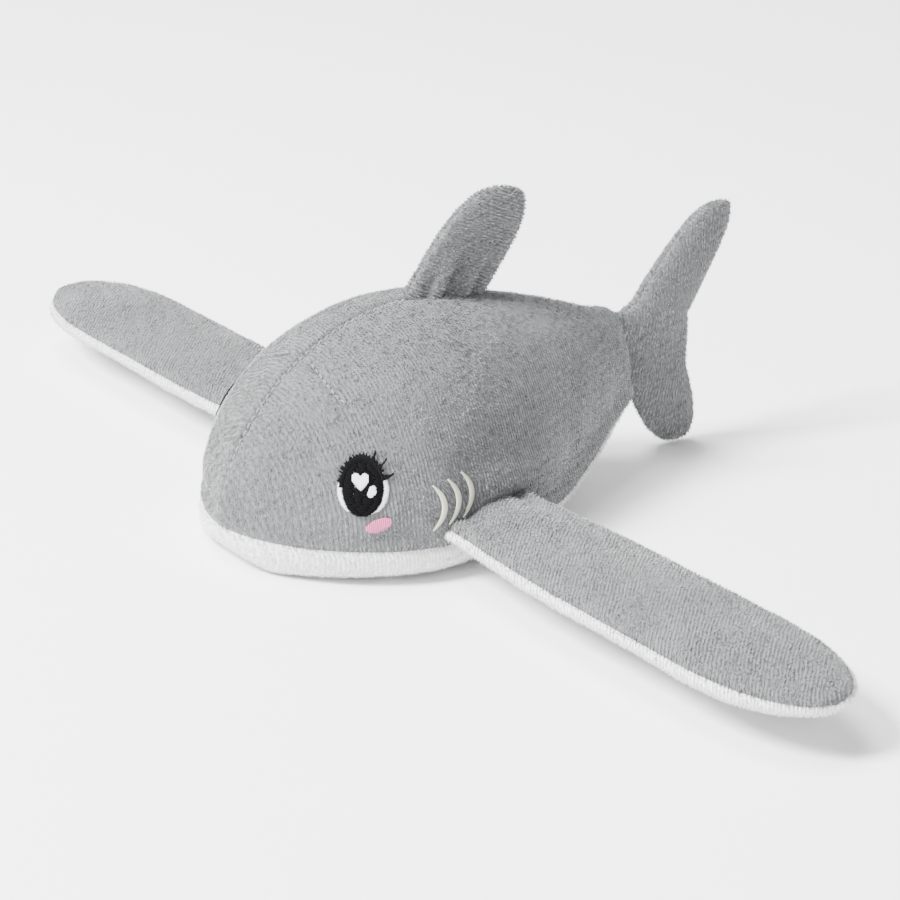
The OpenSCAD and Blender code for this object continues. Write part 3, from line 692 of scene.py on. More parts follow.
# ---------------------------------------------------------------- soft filling
def pressed(grid, cap, voxel=4.5, pressure=4.0):
    """Swells the closed form that the grid makes as a stuffed cloth bag, and
    returns how far each grid point moves along its normal, at most cap."""
    bpy.ops.object.select_all(action="DESELECT")
    m, n, _ = grid.shape
    at = np.arange(m * n).reshape(m, n)
    quads = np.stack([at[:-1, :-1], at[1:, :-1], at[1:, 1:], at[:-1, 1:]], -1).reshape(-1, 4)
    mesh = bpy.data.meshes.new("body_bag")
    mesh.from_pydata(grid.reshape(-1, 3).tolist(), [], quads.tolist())
    bag = bpy.data.objects.new("body_bag", mesh)
    bpy.context.scene.collection.objects.link(bag)
    bpy.context.view_layer.objects.active = bag
    bag.select_set(True)
    work = bmesh.new()
    work.from_mesh(mesh)
    bmesh.ops.remove_doubles(work, verts=work.verts, dist=0.25)
    bmesh.ops.holes_fill(work, edges=work.edges, sides=0)
    bmesh.ops.recalc_face_normals(work, faces=work.faces)
    work.to_mesh(mesh)
    work.free()
    # The solver expects a cloth of everyday size, so the bag is worked at ten times life size.
    scale = 0.01
    mesh.transform(Matrix.Scale(scale, 4))
    mesh.remesh_voxel_size = voxel * scale
    bpy.ops.object.voxel_remesh()
    rest = np.array([v.co for v in mesh.vertices])
    cloth = bag.modifiers.new("stuffed", "CLOTH")
    cloth.settings.use_pressure = True
    cloth.settings.uniform_pressure_force = pressure
    cloth.settings.effector_weights.gravity = 0
    cloth.settings.tension_stiffness = 25
    cloth.settings.bending_stiffness = 0.6
    cloth.settings.quality = 5
    scene = bpy.context.scene
    for step in range(1, 21):
        scene.frame_set(step)
    bpy.ops.object.modifier_apply(modifier="stuffed")
    scene.frame_set(1)
    moved = np.array([v.co for v in bag.data.vertices])
    faces = [tuple(p.vertices) for p in bag.data.polygons]
    delta = (moved - rest) / scale
    tree = BVHTree.FromPolygons([Vector(v) for v in rest / scale], faces)
    normals = grid_normals(grid)
    shift = np.zeros(grid.shape[:2])
    for index in np.ndindex(*grid.shape[:2]):
        near = tree.find_nearest(Vector(grid[index]))
        corners = faces[near[2]]
        weight = [1 / (1e-3 + (Vector(rest[c] / scale) - near[0]).length) for c in corners]
        mean = sum(w * delta[c] for w, c in zip(weight, corners)) / sum(weight)
        shift[index] = mean @ normals[index]
    bpy.data.objects.remove(bag)
    return np.clip(shift, -cap, cap)


# ---------------------------------------------------------------- body
def in_oval(x, y, a, b, turn=0.0, grow=0.0):
    """A test for the hoop points within an oval, turned and grown by a rim."""
    c, s = math.cos(turn), math.sin(turn)

    def test(p, q):
        along, beside = (p - x) * c + (q - y) * s, -(p - x) * s + (q - y) * c
        return (along / (a + grow)) ** 2 + (beside / (b + grow)) ** 2 < 1
    return test


BARE_RIM = 0.45          # no pile grows this near to the thread
# Where thread covers the skin: the eye's ground, the eye with its lid, and the cheek.
EYE_SHAPES = (
    in_oval(*GROUND_AT, GROUND_A, GROUND_B, grow=BARE_RIM),
    in_oval(0, 0, EYE_W / 2 + 1.0, EYE_H / 2 + 0.9, grow=BARE_RIM),
    in_oval(2.4, -CHEEK_DOWN, CHEEK_A, CHEEK_B, CHEEK_TURN, BARE_RIM),
)


def gill_path(i):
    """One gill curve as hoop points with half its width, thin at both ends."""
    return [(4.6 * i + 2.9 * (1 - v * v) - 0.22 * (1 - v) ** 2, v * 5.8 + 0.9 * i, 0.12 + 0.62 * (1 - v * v))
            for v in np.linspace(-1, 1, 15)]


GILL_PATHS = [gill_path(i) for i in range(3)]


def embroidered(points):
    """True where embroidery covers the skin, so that no pile grows through it."""
    hit = np.zeros(len(points), bool)
    mirrored = points.copy()
    mirrored[:, 1] = np.abs(mirrored[:, 1])
    centre, back, up = cheek_frame(EYE_X, EYE_Z)
    near = np.linalg.norm(mirrored - centre, axis=1) < 42
    rel = mirrored[near] - centre
    p, q = rel @ back, rel @ up
    found = np.zeros(len(p), bool)
    for shape in EYE_SHAPES:
        found |= shape(p, q)
    centre, back, up = cheek_frame(GILL_X, GILL_Z)
    rel = mirrored[near] - centre
    flat = np.stack([rel @ back, rel @ up], -1)
    for path in GILL_PATHS:
        for (x, y, w), (x2, y2, w2) in zip(path[:-1], path[1:]):
            middle = np.array([(x + x2) / 2, (y + y2) / 2])
            found |= np.linalg.norm(flat - middle, axis=1) < (w + w2) / 2 + BARE_RIM
    hit[near] = found
    return hit


def body_grid(a0, a1, m, n, d, cluster=lambda t: t):
    """Points of the body's skin between two angles, clustered where they matter."""
    u = np.linspace(0, 1, m)[:, None]
    t = cluster(np.linspace(0, 1, n)[None, :])
    return body_surface(u, a0 + (a1 - a0) * t, d)


def between(grid, at_u, at_v):
    """A grid's values at fractional places along its two sides."""
    i = np.clip(at_u.astype(int), 0, grid.shape[0] - 2)
    j = np.clip(at_v.astype(int), 0, grid.shape[1] - 2)
    fu, fv = (at_u - i)[:, None], (at_v - j)[None, :]
    return ((1 - fu) * ((1 - fv) * grid[np.ix_(i, j)] + fv * grid[np.ix_(i, j + 1)])
            + fu * ((1 - fv) * grid[np.ix_(i + 1, j)] + fv * grid[np.ix_(i + 1, j + 1)]))


def back_panel_move(skin, side, swelling, sewing):
    """How far each point of a back panel moves outwards, in millimetres."""
    depth, width = sewing.seam_depth * 1000, sewing.seam_width * 1000
    x, from_crest = skin[..., 0], np.abs(skin[..., 1])
    from_seam = np.linalg.norm(skin - skin[:, :1], axis=-1)
    # The crest seam is pulled in at each stitch, and fades out at the nose.
    crest = dip(from_crest, depth, width) * smooth(NOSE_X - 1, NOSE_X - 9, x)
    crest = crest * (1.1 + 0.4 * np.cos(2 * math.pi * x / STITCH_STEP)) * (0.4 + 0.6 * smooth(-50, -20, x))
    pleat = dip(near_line(skin, DART), 1.2, 0.9)
    move = -crest - pleat - dip(from_seam, depth * 0.8, width)
    # Loose filling makes the skin uneven away from its seams.
    fade = smooth(0, 6, from_crest) * smooth(0, 6, from_seam)
    world = skin * (1, side, 1)
    move = move + fade * (0.55 * swell(world, 34, 3) + 0.16 * swell(world, 9, 4))
    past_nose = smooth(0, 0.12, np.linspace(0, 1, len(skin)))[:, None]
    move = move + fade * (swelling - 0.6 * swelling.max()) * past_nose
    # A bulge in front of the tail's seam and the dip at the seam itself.
    end = x - TAIL_X
    move = move + 1.5 * np.exp(-((end - 5.5) / 4.5) ** 2) - 1.7 * np.exp(-(end / 1.8) ** 2)
    # The body is full above the side fin's root and hangs over its rear part.
    over = np.exp(-((skin[..., 2] - 21.5) / 5.0) ** 2) * smooth(-46, -22, x) * smooth(4, -12, x)
    move = move + 2.4 * over
    # The embroidery's backing keeps the skin calm round the eye and the gills.
    for x0, z0, reach in ((EYE_X, EYE_Z - 1.5, 9.5), (GILL_X - 4, GILL_Z, 8.0)):
        calm = smooth(reach + 5, reach - 1, np.linalg.norm(skin - on_cheek(x0, z0), axis=-1))
        move = move * (1 - calm) - 0.12 * calm
    return move


def beside_crest(points):
    """True where pile grows on the back: not on the crest's stitches or the embroidery."""
    bare = 0.3 + 0.12 * np.cos(points[:, 0] * 2.7)
    return (np.abs(points[:, 1]) > bare) & ~embroidered(points)


class SHARK_OT_back_panels(bpy.types.Operator):
    """Grey left and right back panels, sewn along the crest, each with its pile"""
    bl_idname = "shark.back_panels"
    bl_label = "Back panels"

    def execute(self, context):
        cluster = lambda t: 1 - (1 - t) ** 1.7
        outer = body_grid(0, math.pi / 2, 150, 70, PILE_IN, cluster)
        inner = body_grid(0, math.pi / 2, 150, 70, BACKING_IN, cluster)
        swollen = pressed(body_grid(0, 2 * math.pi, 60, 81, PILE_IN), cap=1.2)
        # The quarter of the bag from the left seam to the crest, on the panel's finer grid.
        swelling = between(swollen[:, :21], np.linspace(0, 59, 150), cluster(np.linspace(0, 1, 70)) * 20)
        normals = grid_normals(outer)
        for name, side in SIDES:
            move = back_panel_move(outer, side, swelling, context.scene.shark_sewing)
            skin = outer + normals * move[..., None]
            skin[..., 1] = np.maximum(skin[..., 1], 0.06)
            under = inner.copy()
            under[..., 1] = np.maximum(under[..., 1], 0.05)
            under = under + normals * np.minimum(0, move + 0.2)[..., None]
            under[..., 1] = np.maximum(under[..., 1], 0.05)
            piece = pile_skin(f"back_panel_pile_{name}", skin * (1, side, 1), under * (1, side, 1),
                              (1, 0, 0), False, 21 if side > 0 else 22, "body",
                              keep=beside_crest, cap=BACK_TUFTS)
            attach(piece, "torso")
            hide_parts(f"back_panel_{name}")
        return {"FINISHED"}


class SHARK_OT_seam_thread(bpy.types.Operator):
    """Sewing thread that shows as short stitches along the crest and dart seams"""
    bl_idname = "shark.seam_thread"
    bl_label = "Seam thread"

    def execute(self, context):
        proto, faces = flat_stitch(0.2)
        # The thread lies deep in the crest's dip, and just under the skin along the darts.
        crest = body_surface(np.linspace(0.02, 1, 600), np.full(600, math.pi / 2), PILE_IN + 0.75)
        lines = [crest]
        t = np.linspace(0, 1, 120)
        pleat = np.stack([np.interp(t, (0, 0.75, 1), [p[k] for p in DART]) for k in range(3)], -1)
        for side in (1, -1):
            lines.append(pleat * (1, side, 1) - (0.35, 0, 0.55))
        end = np.abs(proto[:, :1]) * 2
        points, polygons = [], []
        for line in lines:
            run = np.concatenate([[0], np.cumsum(np.linalg.norm(np.diff(line, axis=0), axis=1))])
            starts = np.arange(0.6, run[-1] - 2.2, STITCH_STEP)
            first, last = (np.stack([np.interp(starts + d, run, line[:, k]) for k in range(3)], -1)
                           for d in (0, STITCH))
            for a, b in zip(first, last):
                along = (b - a) / np.linalg.norm(b - a)
                beside = np.cross((0, 0, 1.0), along)
                beside /= max(np.linalg.norm(beside), 1e-6)
                rise = np.cross(along, beside)
                base = len(points) * len(proto)
                points.append((a + b) / 2 + proto[:, :1] * 1.7 * along + proto[:, 1:2] * beside
                              + (proto[:, 2:] + 0.35 * (1 - end ** 2)) * rise)
                polygons += [[base + v for v in f] for f in faces]
        piece = thread_object("seam_thread", row(np.concatenate(points)), polygons,
                              satin_thread("grey_polyester_thread", "9b9da0", "6f7174"))
        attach(piece, "torso")
        return {"FINISHED"}


class SHARK_OT_belly_panel(bpy.types.Operator):
    """White belly panel, flat where the toy rests"""
    bl_idname = "shark.belly_panel"
    bl_label = "Belly panel"

    def execute(self, context):
        sewing = context.scene.shark_sewing
        cluster = lambda t: 0.5 - 0.5 * np.cos(math.pi * t)
        outer = body_grid(-math.pi, 0, 130, 90, PILE_IN, cluster)
        inner = body_grid(-math.pi, 0, 130, 90, BACKING_IN, cluster)
        edge = from_ends(outer)
        move = -dip(edge, sewing.seam_depth * 700, sewing.seam_width * 1000)
        move = move + smooth(0, 5, edge) * smooth(1.5, 4, outer[..., 2]) * 0.5 * swell(outer, 26, 8)
        skin = outer + grid_normals(outer) * move[..., None]
        skin[..., 2] = np.maximum(skin[..., 2], 0.12)
        inner[..., 2] = np.maximum(inner[..., 2], 1.0)
        piece = pile_skin("belly_panel_pile", skin, inner, (1, 0, 0), True, 23, "body",
                          floor=True, cap=BELLY_TUFTS)
        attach(piece, "torso")
        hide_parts("belly_panel")
        return {"FINISHED"}


def fin_panel(i, up, side):
    """Outer and inner skin of one length of a side fin, its top or its underside.
    The first length starts inside the body, and the last one closes the tip."""
    ends = (-6.5,) + FIN_CUTS + (FIN_LENGTH,)
    a, b = ends[i], ends[i + 1]
    angle = np.linspace(RIM_TURN, up * math.pi - RIM_TURN, 44)[None, :]
    count = 70 if i == 3 else max(44, int((b - a) * 1.3))
    t = np.linspace(0, 1, count)[:, None]
    if i == 0:
        root = half_y(FIN_X + FIN_ROOT_WIDTH / 2 * np.cos(angle), 0) - FIN_Y - 3.5
        s = root + (b - root) * t ** 1.1
    elif i == 3:
        s = a + (b - a) * (1 - (1 - t) ** 1.6)
    else:
        s = np.linspace(a, b, count)[:, None]
    outer = fin_surface(s - PILE_IN * (s > 120), angle, PILE_IN, side)
    inner = fin_surface(np.minimum(s, FIN_LENGTH - FABRIC), angle, BACKING_IN, side)
    normals = grid_normals(outer)
    core = s[:, 0]
    out = outer - fin_to_maker(np.stack([0 * core, core, 0 * core], -1), side)[:, None]
    normals = normals * np.sign((normals * out).sum(-1, keepdims=True).mean())
    return s, outer, inner, normals


class SHARK_OT_side_fins(bpy.types.Operator):
    """Grey tops and white undersides of the side fins, in lengths that each span one joint"""
    bl_idname = "shark.side_fins"
    bl_label = "Side fins"

    def execute(self, context):
        for name, side in SIDES:
            for up, label in ((1, "top"), (-1, "under")):
                for i in range(4):
                    skin, under = self.shaped(context, i, up, side)
                    piece = pile_skin(f"fin_{label}_pile_{name}_{i + 1}", skin, under, (1, -1, 0.0), up < 0,
                                      100 + 10 * i + 3 * up + side, "side_fin")
                    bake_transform(piece)
                    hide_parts(f"fin_{label}_{name}_{i + 1}")
        return {"FINISHED"}

    def shaped(self, context, i, up, side):
        """The skins of one length with their seams, unevenness and gathers at the root."""
        sewing = context.scene.shark_sewing
        s, outer, inner, normals = fin_panel(i, up, side)
        edge = np.minimum(from_ends(outer), np.maximum(0, FIN_LENGTH - s))
        fade = smooth(0, 4, edge)
        move = -dip(edge, sewing.seam_depth * 600, sewing.seam_width * 1000)
        move = move + fade * (0.5 * swell(outer, 30, 31 + side) + 0.2 * swell(outer, 11, 35))
        gather = smooth(16, -2, s) * 0.7 * np.cos(np.linspace(-1, 1, 44) * 9 + swell(outer, 20, 36))
        move = move + fade * gather
        skin = outer + normals * move[..., None]
        under = inner + normals * np.minimum(0, move + 0.3)[..., None]
        if side < 0:
            skin, under = skin[::-1], under[::-1]
        return skin, under


# ---------------------------------------------------------------- back fin and tail
def half_skin(outer, inner, move, normals, side, reach=0.0):
    """One half of a fin that is sewn flat to its mirror image: its outer and inner
    skin, each kept on its own side of the middle plane."""
    skin = outer + normals * move[..., None]
    skin[..., 0] += reach
    under = inner.copy()
    under[..., 0] += reach
    skin[..., 1] = side * np.maximum(side * skin[..., 1], 0.05)
    under = under + normals * np.minimum(0, move * 0.8)[..., None]
    under[..., 1] = side * np.maximum(side * under[..., 1], 0.04)
    return skin, under


def half_normals(outer, side):
    """Normals of half a fin, pointing out to its side."""
    normals = grid_normals(outer)
    middle = normals[outer.shape[0] // 2, outer.shape[1] // 2, 1]
    return normals * np.sign(middle * side)


class SHARK_OT_back_fin(bpy.types.Operator):
    """Raked back fin in two halves, with the folds its tight base seam pulls in"""
    bl_idname = "shark.back_fin"
    bl_label = "Back fin"

    def execute(self, context):
        sewing = context.scene.shark_sewing
        q = (1 - (1 - np.linspace(0, 1, 96)) ** 1.5)[:, None]
        angle = (0.5 - 0.5 * np.cos(np.linspace(0, math.pi, 72)))[None, :] * math.pi
        combed = math.radians(24)
        for name, side in SIDES:
            outer = back_fin_surface(q, angle, PILE_IN, side)
            inner = back_fin_surface(q, angle, BACKING_IN, side)
            edge = np.abs(outer[..., 1])
            fade = smooth(0, 3, edge)
            move = -dip(edge, sewing.seam_depth * 700, sewing.seam_width * 1000)
            move = move + fade * 0.35 * swell(outer, 16, 41)
            height = (outer[..., 2] - (BACK_Z + 3.5 - (BACK_X - outer[..., 0]) * math.tan(BACK_SLOPE)))
            run = outer[..., 0] + 0.55 * height - BACK_X
            # Each fold is a groove with a swollen strip in front of it.
            for centre, deep, wide, reach in BACK_FOLDS:
                fold = np.exp(-((run - centre) / wide) ** 2) * smooth(reach, 0.5, height)
                swollen = np.exp(-((run - centre - 3.2) / 2.2) ** 2) * smooth(reach, 0.5, height)
                move = move + fade * (0.5 * deep * swollen - deep * fold)
            skin, under = half_skin(outer, inner, move, half_normals(outer, side), side)
            piece = pile_skin(f"back_fin_pile_{name}", skin, under, (math.sin(combed), 0, -math.cos(combed)),
                              False, 51 + side, "back_fin", cap=BACK_FIN_TUFTS)
            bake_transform(piece)
            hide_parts(f"back_fin_panel_{name}")
        return {"FINISHED"}


class SHARK_OT_tail(bpy.types.Operator):
    """Two-lobed tail in two halves, sewn round its edge and to the end of the body"""
    bl_idname = "shark.tail"
    bl_label = "Tail"

    def execute(self, context):
        sewing = context.scene.shark_sewing
        t = np.linspace(-1, 1, 150)
        q = (np.sign(t) * (1 - (1 - np.abs(t)) ** 1.5))[:, None]
        angle = (0.5 - 0.5 * np.cos(np.linspace(0, math.pi, 60)))[None, :] * math.pi
        root_mid, root_half = (TAIL_ROOT_TOP + TAIL_ROOT_BOTTOM) / 2, (TAIL_ROOT_TOP - TAIL_ROOT_BOTTOM) / 2
        for name, side in SIDES:
            outer = tail_surface(q, angle, PILE_IN, side)
            inner = tail_surface(q, angle, BACKING_IN, side)
            x, z = outer[..., 0], outer[..., 2]
            edge = np.abs(outer[..., 1])
            fade = smooth(0, 3, edge)
            move = -dip(edge, sewing.seam_depth * 700, sewing.seam_width * 1000)
            move = move + fade * (0.4 * swell(outer, 20, 61) + 0.15 * swell(outer, 8, 62))
            # The crease where the tail meets the body, and the root that lies inside it.
            move = move - fade * 1.2 * np.exp(-((x - TAIL_X + 2) / 2.2) ** 2)
            root = (smooth(3.5, 0, np.abs(z - root_mid) - root_half)
                    * smooth(TAIL_HINGE_X - 1, TAIL_HINGE_X + 4, x))
            skin, under = half_skin(outer, inner, move, half_normals(outer, side), side, TAIL_REACH * root)
            piece = pile_skin(f"tail_pile_{name}", skin, under, (1, 0, 0.15), False, 71 + side, "tail",
                              cap=TAIL_TUFTS)
            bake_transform(piece)
            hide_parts(f"tail_panel_{name}")
        return {"FINISHED"}


# ---------------------------------------------------------------- embroidery
def flat_stitch(radius):
    """One satin stitch, modelled flat along X from -0.5 to 0.5: a six-sided
    thread, cut across so that its ends can dip into the cloth."""
    bpy.ops.object.select_all(action="DESELECT")
    bpy.ops.mesh.primitive_cylinder_add(vertices=6, radius=radius, depth=1.0, end_fill_type="NGON",
                                        rotation=(0, math.pi / 2, 0))
    stitch = bpy.context.object
    bpy.ops.object.transform_apply(location=True, rotation=True, scale=True)
    bpy.ops.object.mode_set(mode="EDIT")
    for at in (-0.38, -0.2, 0.2, 0.38):
        bpy.ops.mesh.select_all(action="SELECT")
        bpy.ops.mesh.bisect(plane_co=(at, 0, 0), plane_no=(1, 0, 0))
    bpy.ops.object.mode_set(mode="OBJECT")
    points = np.array([v.co for v in stitch.data.vertices])
    faces = [list(p.vertices) for p in stitch.data.polygons]
    bpy.data.objects.remove(stitch)
    return points, faces


def sew(stitches, radius, height):
    """Copies of the one stitch along each flat line (x0, y0, x1, y1), arched over the pad."""
    shortest = 0.25
    proto, faces = flat_stitch(radius)
    end = np.abs(proto[:, 0]) * 2
    out_points, out_faces = [], []
    for x0, y0, x1, y1 in stitches:
        run = math.hypot(x1 - x0, y1 - y0)
        if run < shortest:
            continue
        dx, dy = (x1 - x0) / run, (y1 - y0) / run
        along = proto[:, 0] * (run + radius)
        beside = proto[:, 1] * (1 - 0.35 * end ** 3)
        lift = height + proto[:, 2] * 0.8 - 0.22 * end ** 4 - radius * 0.2
        base = len(out_points) * len(proto)
        out_points.append(np.stack([(x0 + x1) / 2 + along * dx - beside * dy,
                                    (y0 + y1) / 2 + along * dy + beside * dx, lift], -1))
        out_faces += [[base + v for v in f] for f in faces]
    return np.concatenate(out_points), out_faces


def thread_pad(outline, height):
    """The raised pad of thread that the satin rows cover, modelled flat: a
    filled ring, inset, extruded up and subdivided."""
    bpy.ops.object.select_all(action="DESELECT")
    bpy.ops.mesh.primitive_circle_add(vertices=len(outline), radius=1.0, fill_type="NOTHING")
    pad = bpy.context.object
    for v, (x, y) in zip(pad.data.vertices, outline):
        v.co = (x, y, 0.05)
    bpy.ops.object.mode_set(mode="EDIT")
    bpy.ops.mesh.select_all(action="SELECT")
    bpy.ops.mesh.edge_face_add()
    bpy.ops.mesh.inset(thickness=0.25, depth=0)
    bpy.ops.mesh.select_all(action="SELECT")
    bpy.ops.mesh.extrude_region_move(TRANSFORM_OT_translate={"value": (0, 0, height)})
    bpy.ops.mesh.select_all(action="SELECT")
    bpy.ops.mesh.quads_convert_to_tris(quad_method="BEAUTY", ngon_method="BEAUTY")
    bpy.ops.mesh.subdivide(number_cuts=2)
    bpy.ops.mesh.normals_make_consistent(inside=False)
    bpy.ops.object.mode_set(mode="OBJECT")
    points = np.array([v.co for v in pad.data.vertices])
    faces = [list(p.vertices) for p in pad.data.polygons]
    bpy.data.objects.remove(pad)
    return points, faces


def rows_across(inside, box, pitch, angle, longest=3.4, jag=0.0, seed=1):
    """Satin rows at an angle, a pitch apart, broken into stitches where they are
    long, with ends that stand out by up to jag."""
    rng = np.random.default_rng(seed)
    c, s = math.cos(angle), math.sin(angle)
    x0, y0, x1, y1 = box
    reach = max(x1 - x0, y1 - y0)
    mx, my = (x0 + x1) / 2, (y0 + y1) / 2
    found = []
    steps = np.linspace(-reach, reach, 400)
    for k in range(int(-reach / pitch), int(reach / pitch) + 1):
        v = k * pitch
        hit = np.flatnonzero(inside(mx + steps * c - v * s, my + steps * s + v * c))
        if len(hit) < 2:
            continue
        for block in np.split(hit, np.flatnonzero(np.diff(hit) > 1) + 1):
            if len(block) < 2:
                continue
            a = steps[block[0]] - jag * rng.random()
            b = steps[block[-1]] + jag * rng.random()
            parts = max(1, math.ceil((b - a) / longest))
            breaks = [a + (b - a) * (i + rng.uniform(-0.25, 0.25)) / parts for i in range(1, parts)]
            ends = [(mx + w * c - v * s, my + w * s + v * c) for w in [a, *breaks, b]]
            found += [(*first, *last) for first, last in zip(ends[:-1], ends[1:])]
    return found


def thread_object(name, points, faces, material):
    """Threads as one smooth-shaded object, with every face turned outwards."""
    mesh = bpy.data.meshes.new(name)
    mesh.from_pydata(points.tolist(), [], faces)
    work = bmesh.new()
    work.from_mesh(mesh)
    bmesh.ops.recalc_face_normals(work, faces=work.faces)
    work.to_mesh(mesh)
    work.free()
    mesh.polygons.foreach_set("use_smooth", [True] * len(mesh.polygons))
    mesh.materials.append(material)
    piece = bpy.data.objects.new(name, mesh)
    bpy.context.scene.collection.objects.link(piece)
    return piece


def embroider(name, side_name, side, at, parts, material, node):
    """Joins flat pads and stitches, lays them on the cheek and fits them to the torso."""
    points, faces, base = [], [], 0
    for p, f in parts:
        points.append(p)
        faces += [[base + v for v in face][::side] for face in f]
        base += len(p)
    placed = wrap_on_cheek(np.concatenate(points), at[0], at[1], side)
    piece = thread_object(f"{name}_{side_name}", placed, faces, material)
    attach(piece, "torso")
    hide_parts(f"{node}_{side_name}")


def oval_rim(x, y, a, b, turn=0.0, count=40):
    """Points round a turned oval."""
    c, s = math.cos(turn), math.sin(turn)
    found = []
    for t in np.linspace(0, 2 * math.pi, count, endpoint=False):
        along, beside = a * math.cos(t), b * math.sin(t)
        found.append((x + along * c - beside * s, y + along * s + beside * c))
    return found


def in_heart(cx, cy, size):
    """A test for two round lobes over a point."""
    def test(p, q):
        x, y = np.abs(p - cx) / size, (q - cy) / size
        top = 0.2 + 0.62 * np.sqrt(np.maximum(0, 1 - (2 * x - 1) ** 2))
        return (x < 0.97) & (y < top) & (y > 1.15 * x ** 1.35 - 1.05)
    return test


def ground_rows(pitch):
    """Rows of the eye's white ground, only where it shows beside the dark oval."""
    rows = rows_across(in_oval(*GROUND_AT, GROUND_A, GROUND_B), (-GROUND_A, -GROUND_B, GROUND_A, GROUND_B),
                       pitch, 0.0, jag=0.15, seed=2)
    return [r for r in rows if max(abs(r[0]), abs(r[2])) > EYE_W * 0.36]


def glint_rows(pitch):
    """Rows of the heart and the drop that stand for light in the eye."""
    heart = in_heart(-0.75, EYE_H * 0.14, 2.25)
    drop = in_oval(EYE_W * 0.2, -EYE_H * 0.045, EYE_W * 0.095, EYE_H * 0.105, -0.4)
    return (rows_across(heart, (-3.6, -1, 2.4, 5), pitch, math.radians(88), longest=5.0, jag=0.05, seed=4)
            + rows_across(drop, (0, -3, 4.8, 2), pitch, math.radians(70), jag=0.05, seed=5))


def lid_rows():
    """Short stitches side by side along the upper lid, ragged at their outer
    ends, and the three lashes, each a fan of stitches that narrows to its tip."""
    rng = np.random.default_rng(6)
    inner = 0.94
    rows = []
    for t in np.linspace(math.radians(177), math.radians(22), 62):
        swollen = math.sin(min(math.pi, max(0.0, math.pi - t) * 1.15))
        thick = 0.5 + 0.55 * swollen + rng.uniform(-0.3, 0.65)
        x, y = EYE_W / 2 * math.cos(t), EYE_H / 2 * math.sin(t)
        n = math.hypot(math.cos(t), math.sin(t) * 0.8)
        nx, ny = math.cos(t) / n, math.sin(t) * 0.8 / n
        rows.append((x * inner, y * inner, x + nx * thick, y + ny * thick))
    for place, reach in LASHES:
        t = math.radians(place)
        x, y = (EYE_W / 2 + 0.5) * math.cos(t), (EYE_H / 2 + 0.3) * math.sin(t)
        for k in range(7):
            w = k / 6
            bend = t - 0.25 + 0.3 * w
            px, py = x + reach * w * math.cos(bend), y + reach * w * math.sin(bend)
            half = 1.0 * (1 - w) + 0.22
            rows.append((px - half * 0.8, py - half * 0.55, px + half * 0.35, py + half * 0.75))
    return rows


def gill_rows():
    """Slanted stitches across each gill curve, as long as it is wide there."""
    rows = []
    for path in GILL_PATHS:
        places = np.linspace(0, 1, 34)
        fine = np.stack([np.interp(places, np.linspace(0, 1, len(path)), [p[i] for p in path])
                         for i in range(3)], -1)
        for k, (x, y, w) in enumerate(fine):
            lo, hi = fine[max(0, k - 1)], fine[min(len(fine) - 1, k + 1)]
            along = hi[:2] - lo[:2]
            across = np.array([-along[1], along[0]])
            n = across / np.linalg.norm(across) + 0.35 * along / np.linalg.norm(hi - lo)
            rows.append((x - n[0] * w, y - n[1] * w, x + n[0] * w, y + n[1] * w))
    return rows


class SHARK_OT_face(bpy.types.Operator):
    """Satin-stitched eyes, lashes, cheeks and gill curves on both sides of the head"""
    bl_idname = "shark.face"
    bl_label = "Embroidered face"

    def execute(self, context):
        sewing = context.scene.shark_sewing
        pitch, radius = sewing.pitch * 1000, sewing.thread * 500
        white = satin_thread("white_rayon_thread", "fbfbfb", "e2e2e4")
        black = satin_thread("black_rayon_thread", "08080a", "020203", 0.08)
        pink = satin_thread("pink_rayon_thread", "e27fa9", "bf5482")
        cream = satin_thread("cream_rayon_thread", "dfdecd", "bfbfae")
        eye, cheek, gill = (EYE_X, EYE_Z), (EYE_X - CHEEK_BACK, EYE_Z - CHEEK_DOWN), (GILL_X, GILL_Z)
        dark_rows = rows_across(in_oval(0, 0, EYE_W / 2, EYE_H / 2), (-6, -8, 6, 8), pitch, 0.0,
                                longest=2.9, jag=0.22, seed=3)
        cheek_rows = rows_across(in_oval(0, 0, CHEEK_A, CHEEK_B, CHEEK_TURN), (-4.5, -3, 4.5, 3),
                                 pitch * 1.25, CHEEK_TURN + math.radians(74), jag=0.12, seed=7)
        ground_pad = thread_pad(oval_rim(*GROUND_AT, GROUND_A - 0.25, GROUND_B - 0.25), 0.12)
        dark_pad = thread_pad(oval_rim(0, 0, EYE_W / 2 - 0.3, EYE_H / 2 - 0.3), 0.3)
        cheek_pad = thread_pad(oval_rim(0, 0, CHEEK_A - 0.3, CHEEK_B - 0.3, CHEEK_TURN), 0.2)
        # Each layer: piece, its place, pads and stitches, thread, slot, and the solid it stands for.
        layers = (
            ("eye_white_stitches", eye, [ground_pad, sew(ground_rows(pitch), radius, 0.3)],
             white, "white_thread", "eye_white"),
            ("eye_dark_stitches", eye, [dark_pad, sew(dark_rows, radius, 0.5)],
             black, "black_thread", "eye_dark"),
            ("eye_glint_stitches", eye, [sew(glint_rows(pitch), radius, 0.78)],
             white, "white_thread", "eye_glints"),
            ("eye_lash_stitches", eye, [sew(lid_rows(), radius, 0.62)],
             black, "black_thread", "eye_lashes"),
            ("cheek_stitches", cheek, [cheek_pad, sew(cheek_rows, radius * 1.25, 0.4)],
             pink, "pink_thread", "cheek"),
            ("gill_stitches", gill, [sew(gill_rows(), radius, 0.4)],
             cream, "cream_thread", "gills"),
        )
        for name, side in SIDES:
            for label, at, parts, thread, slot, node in layers:
                embroider(label, name, side, at, parts, thread, node)
        return {"FINISHED"}


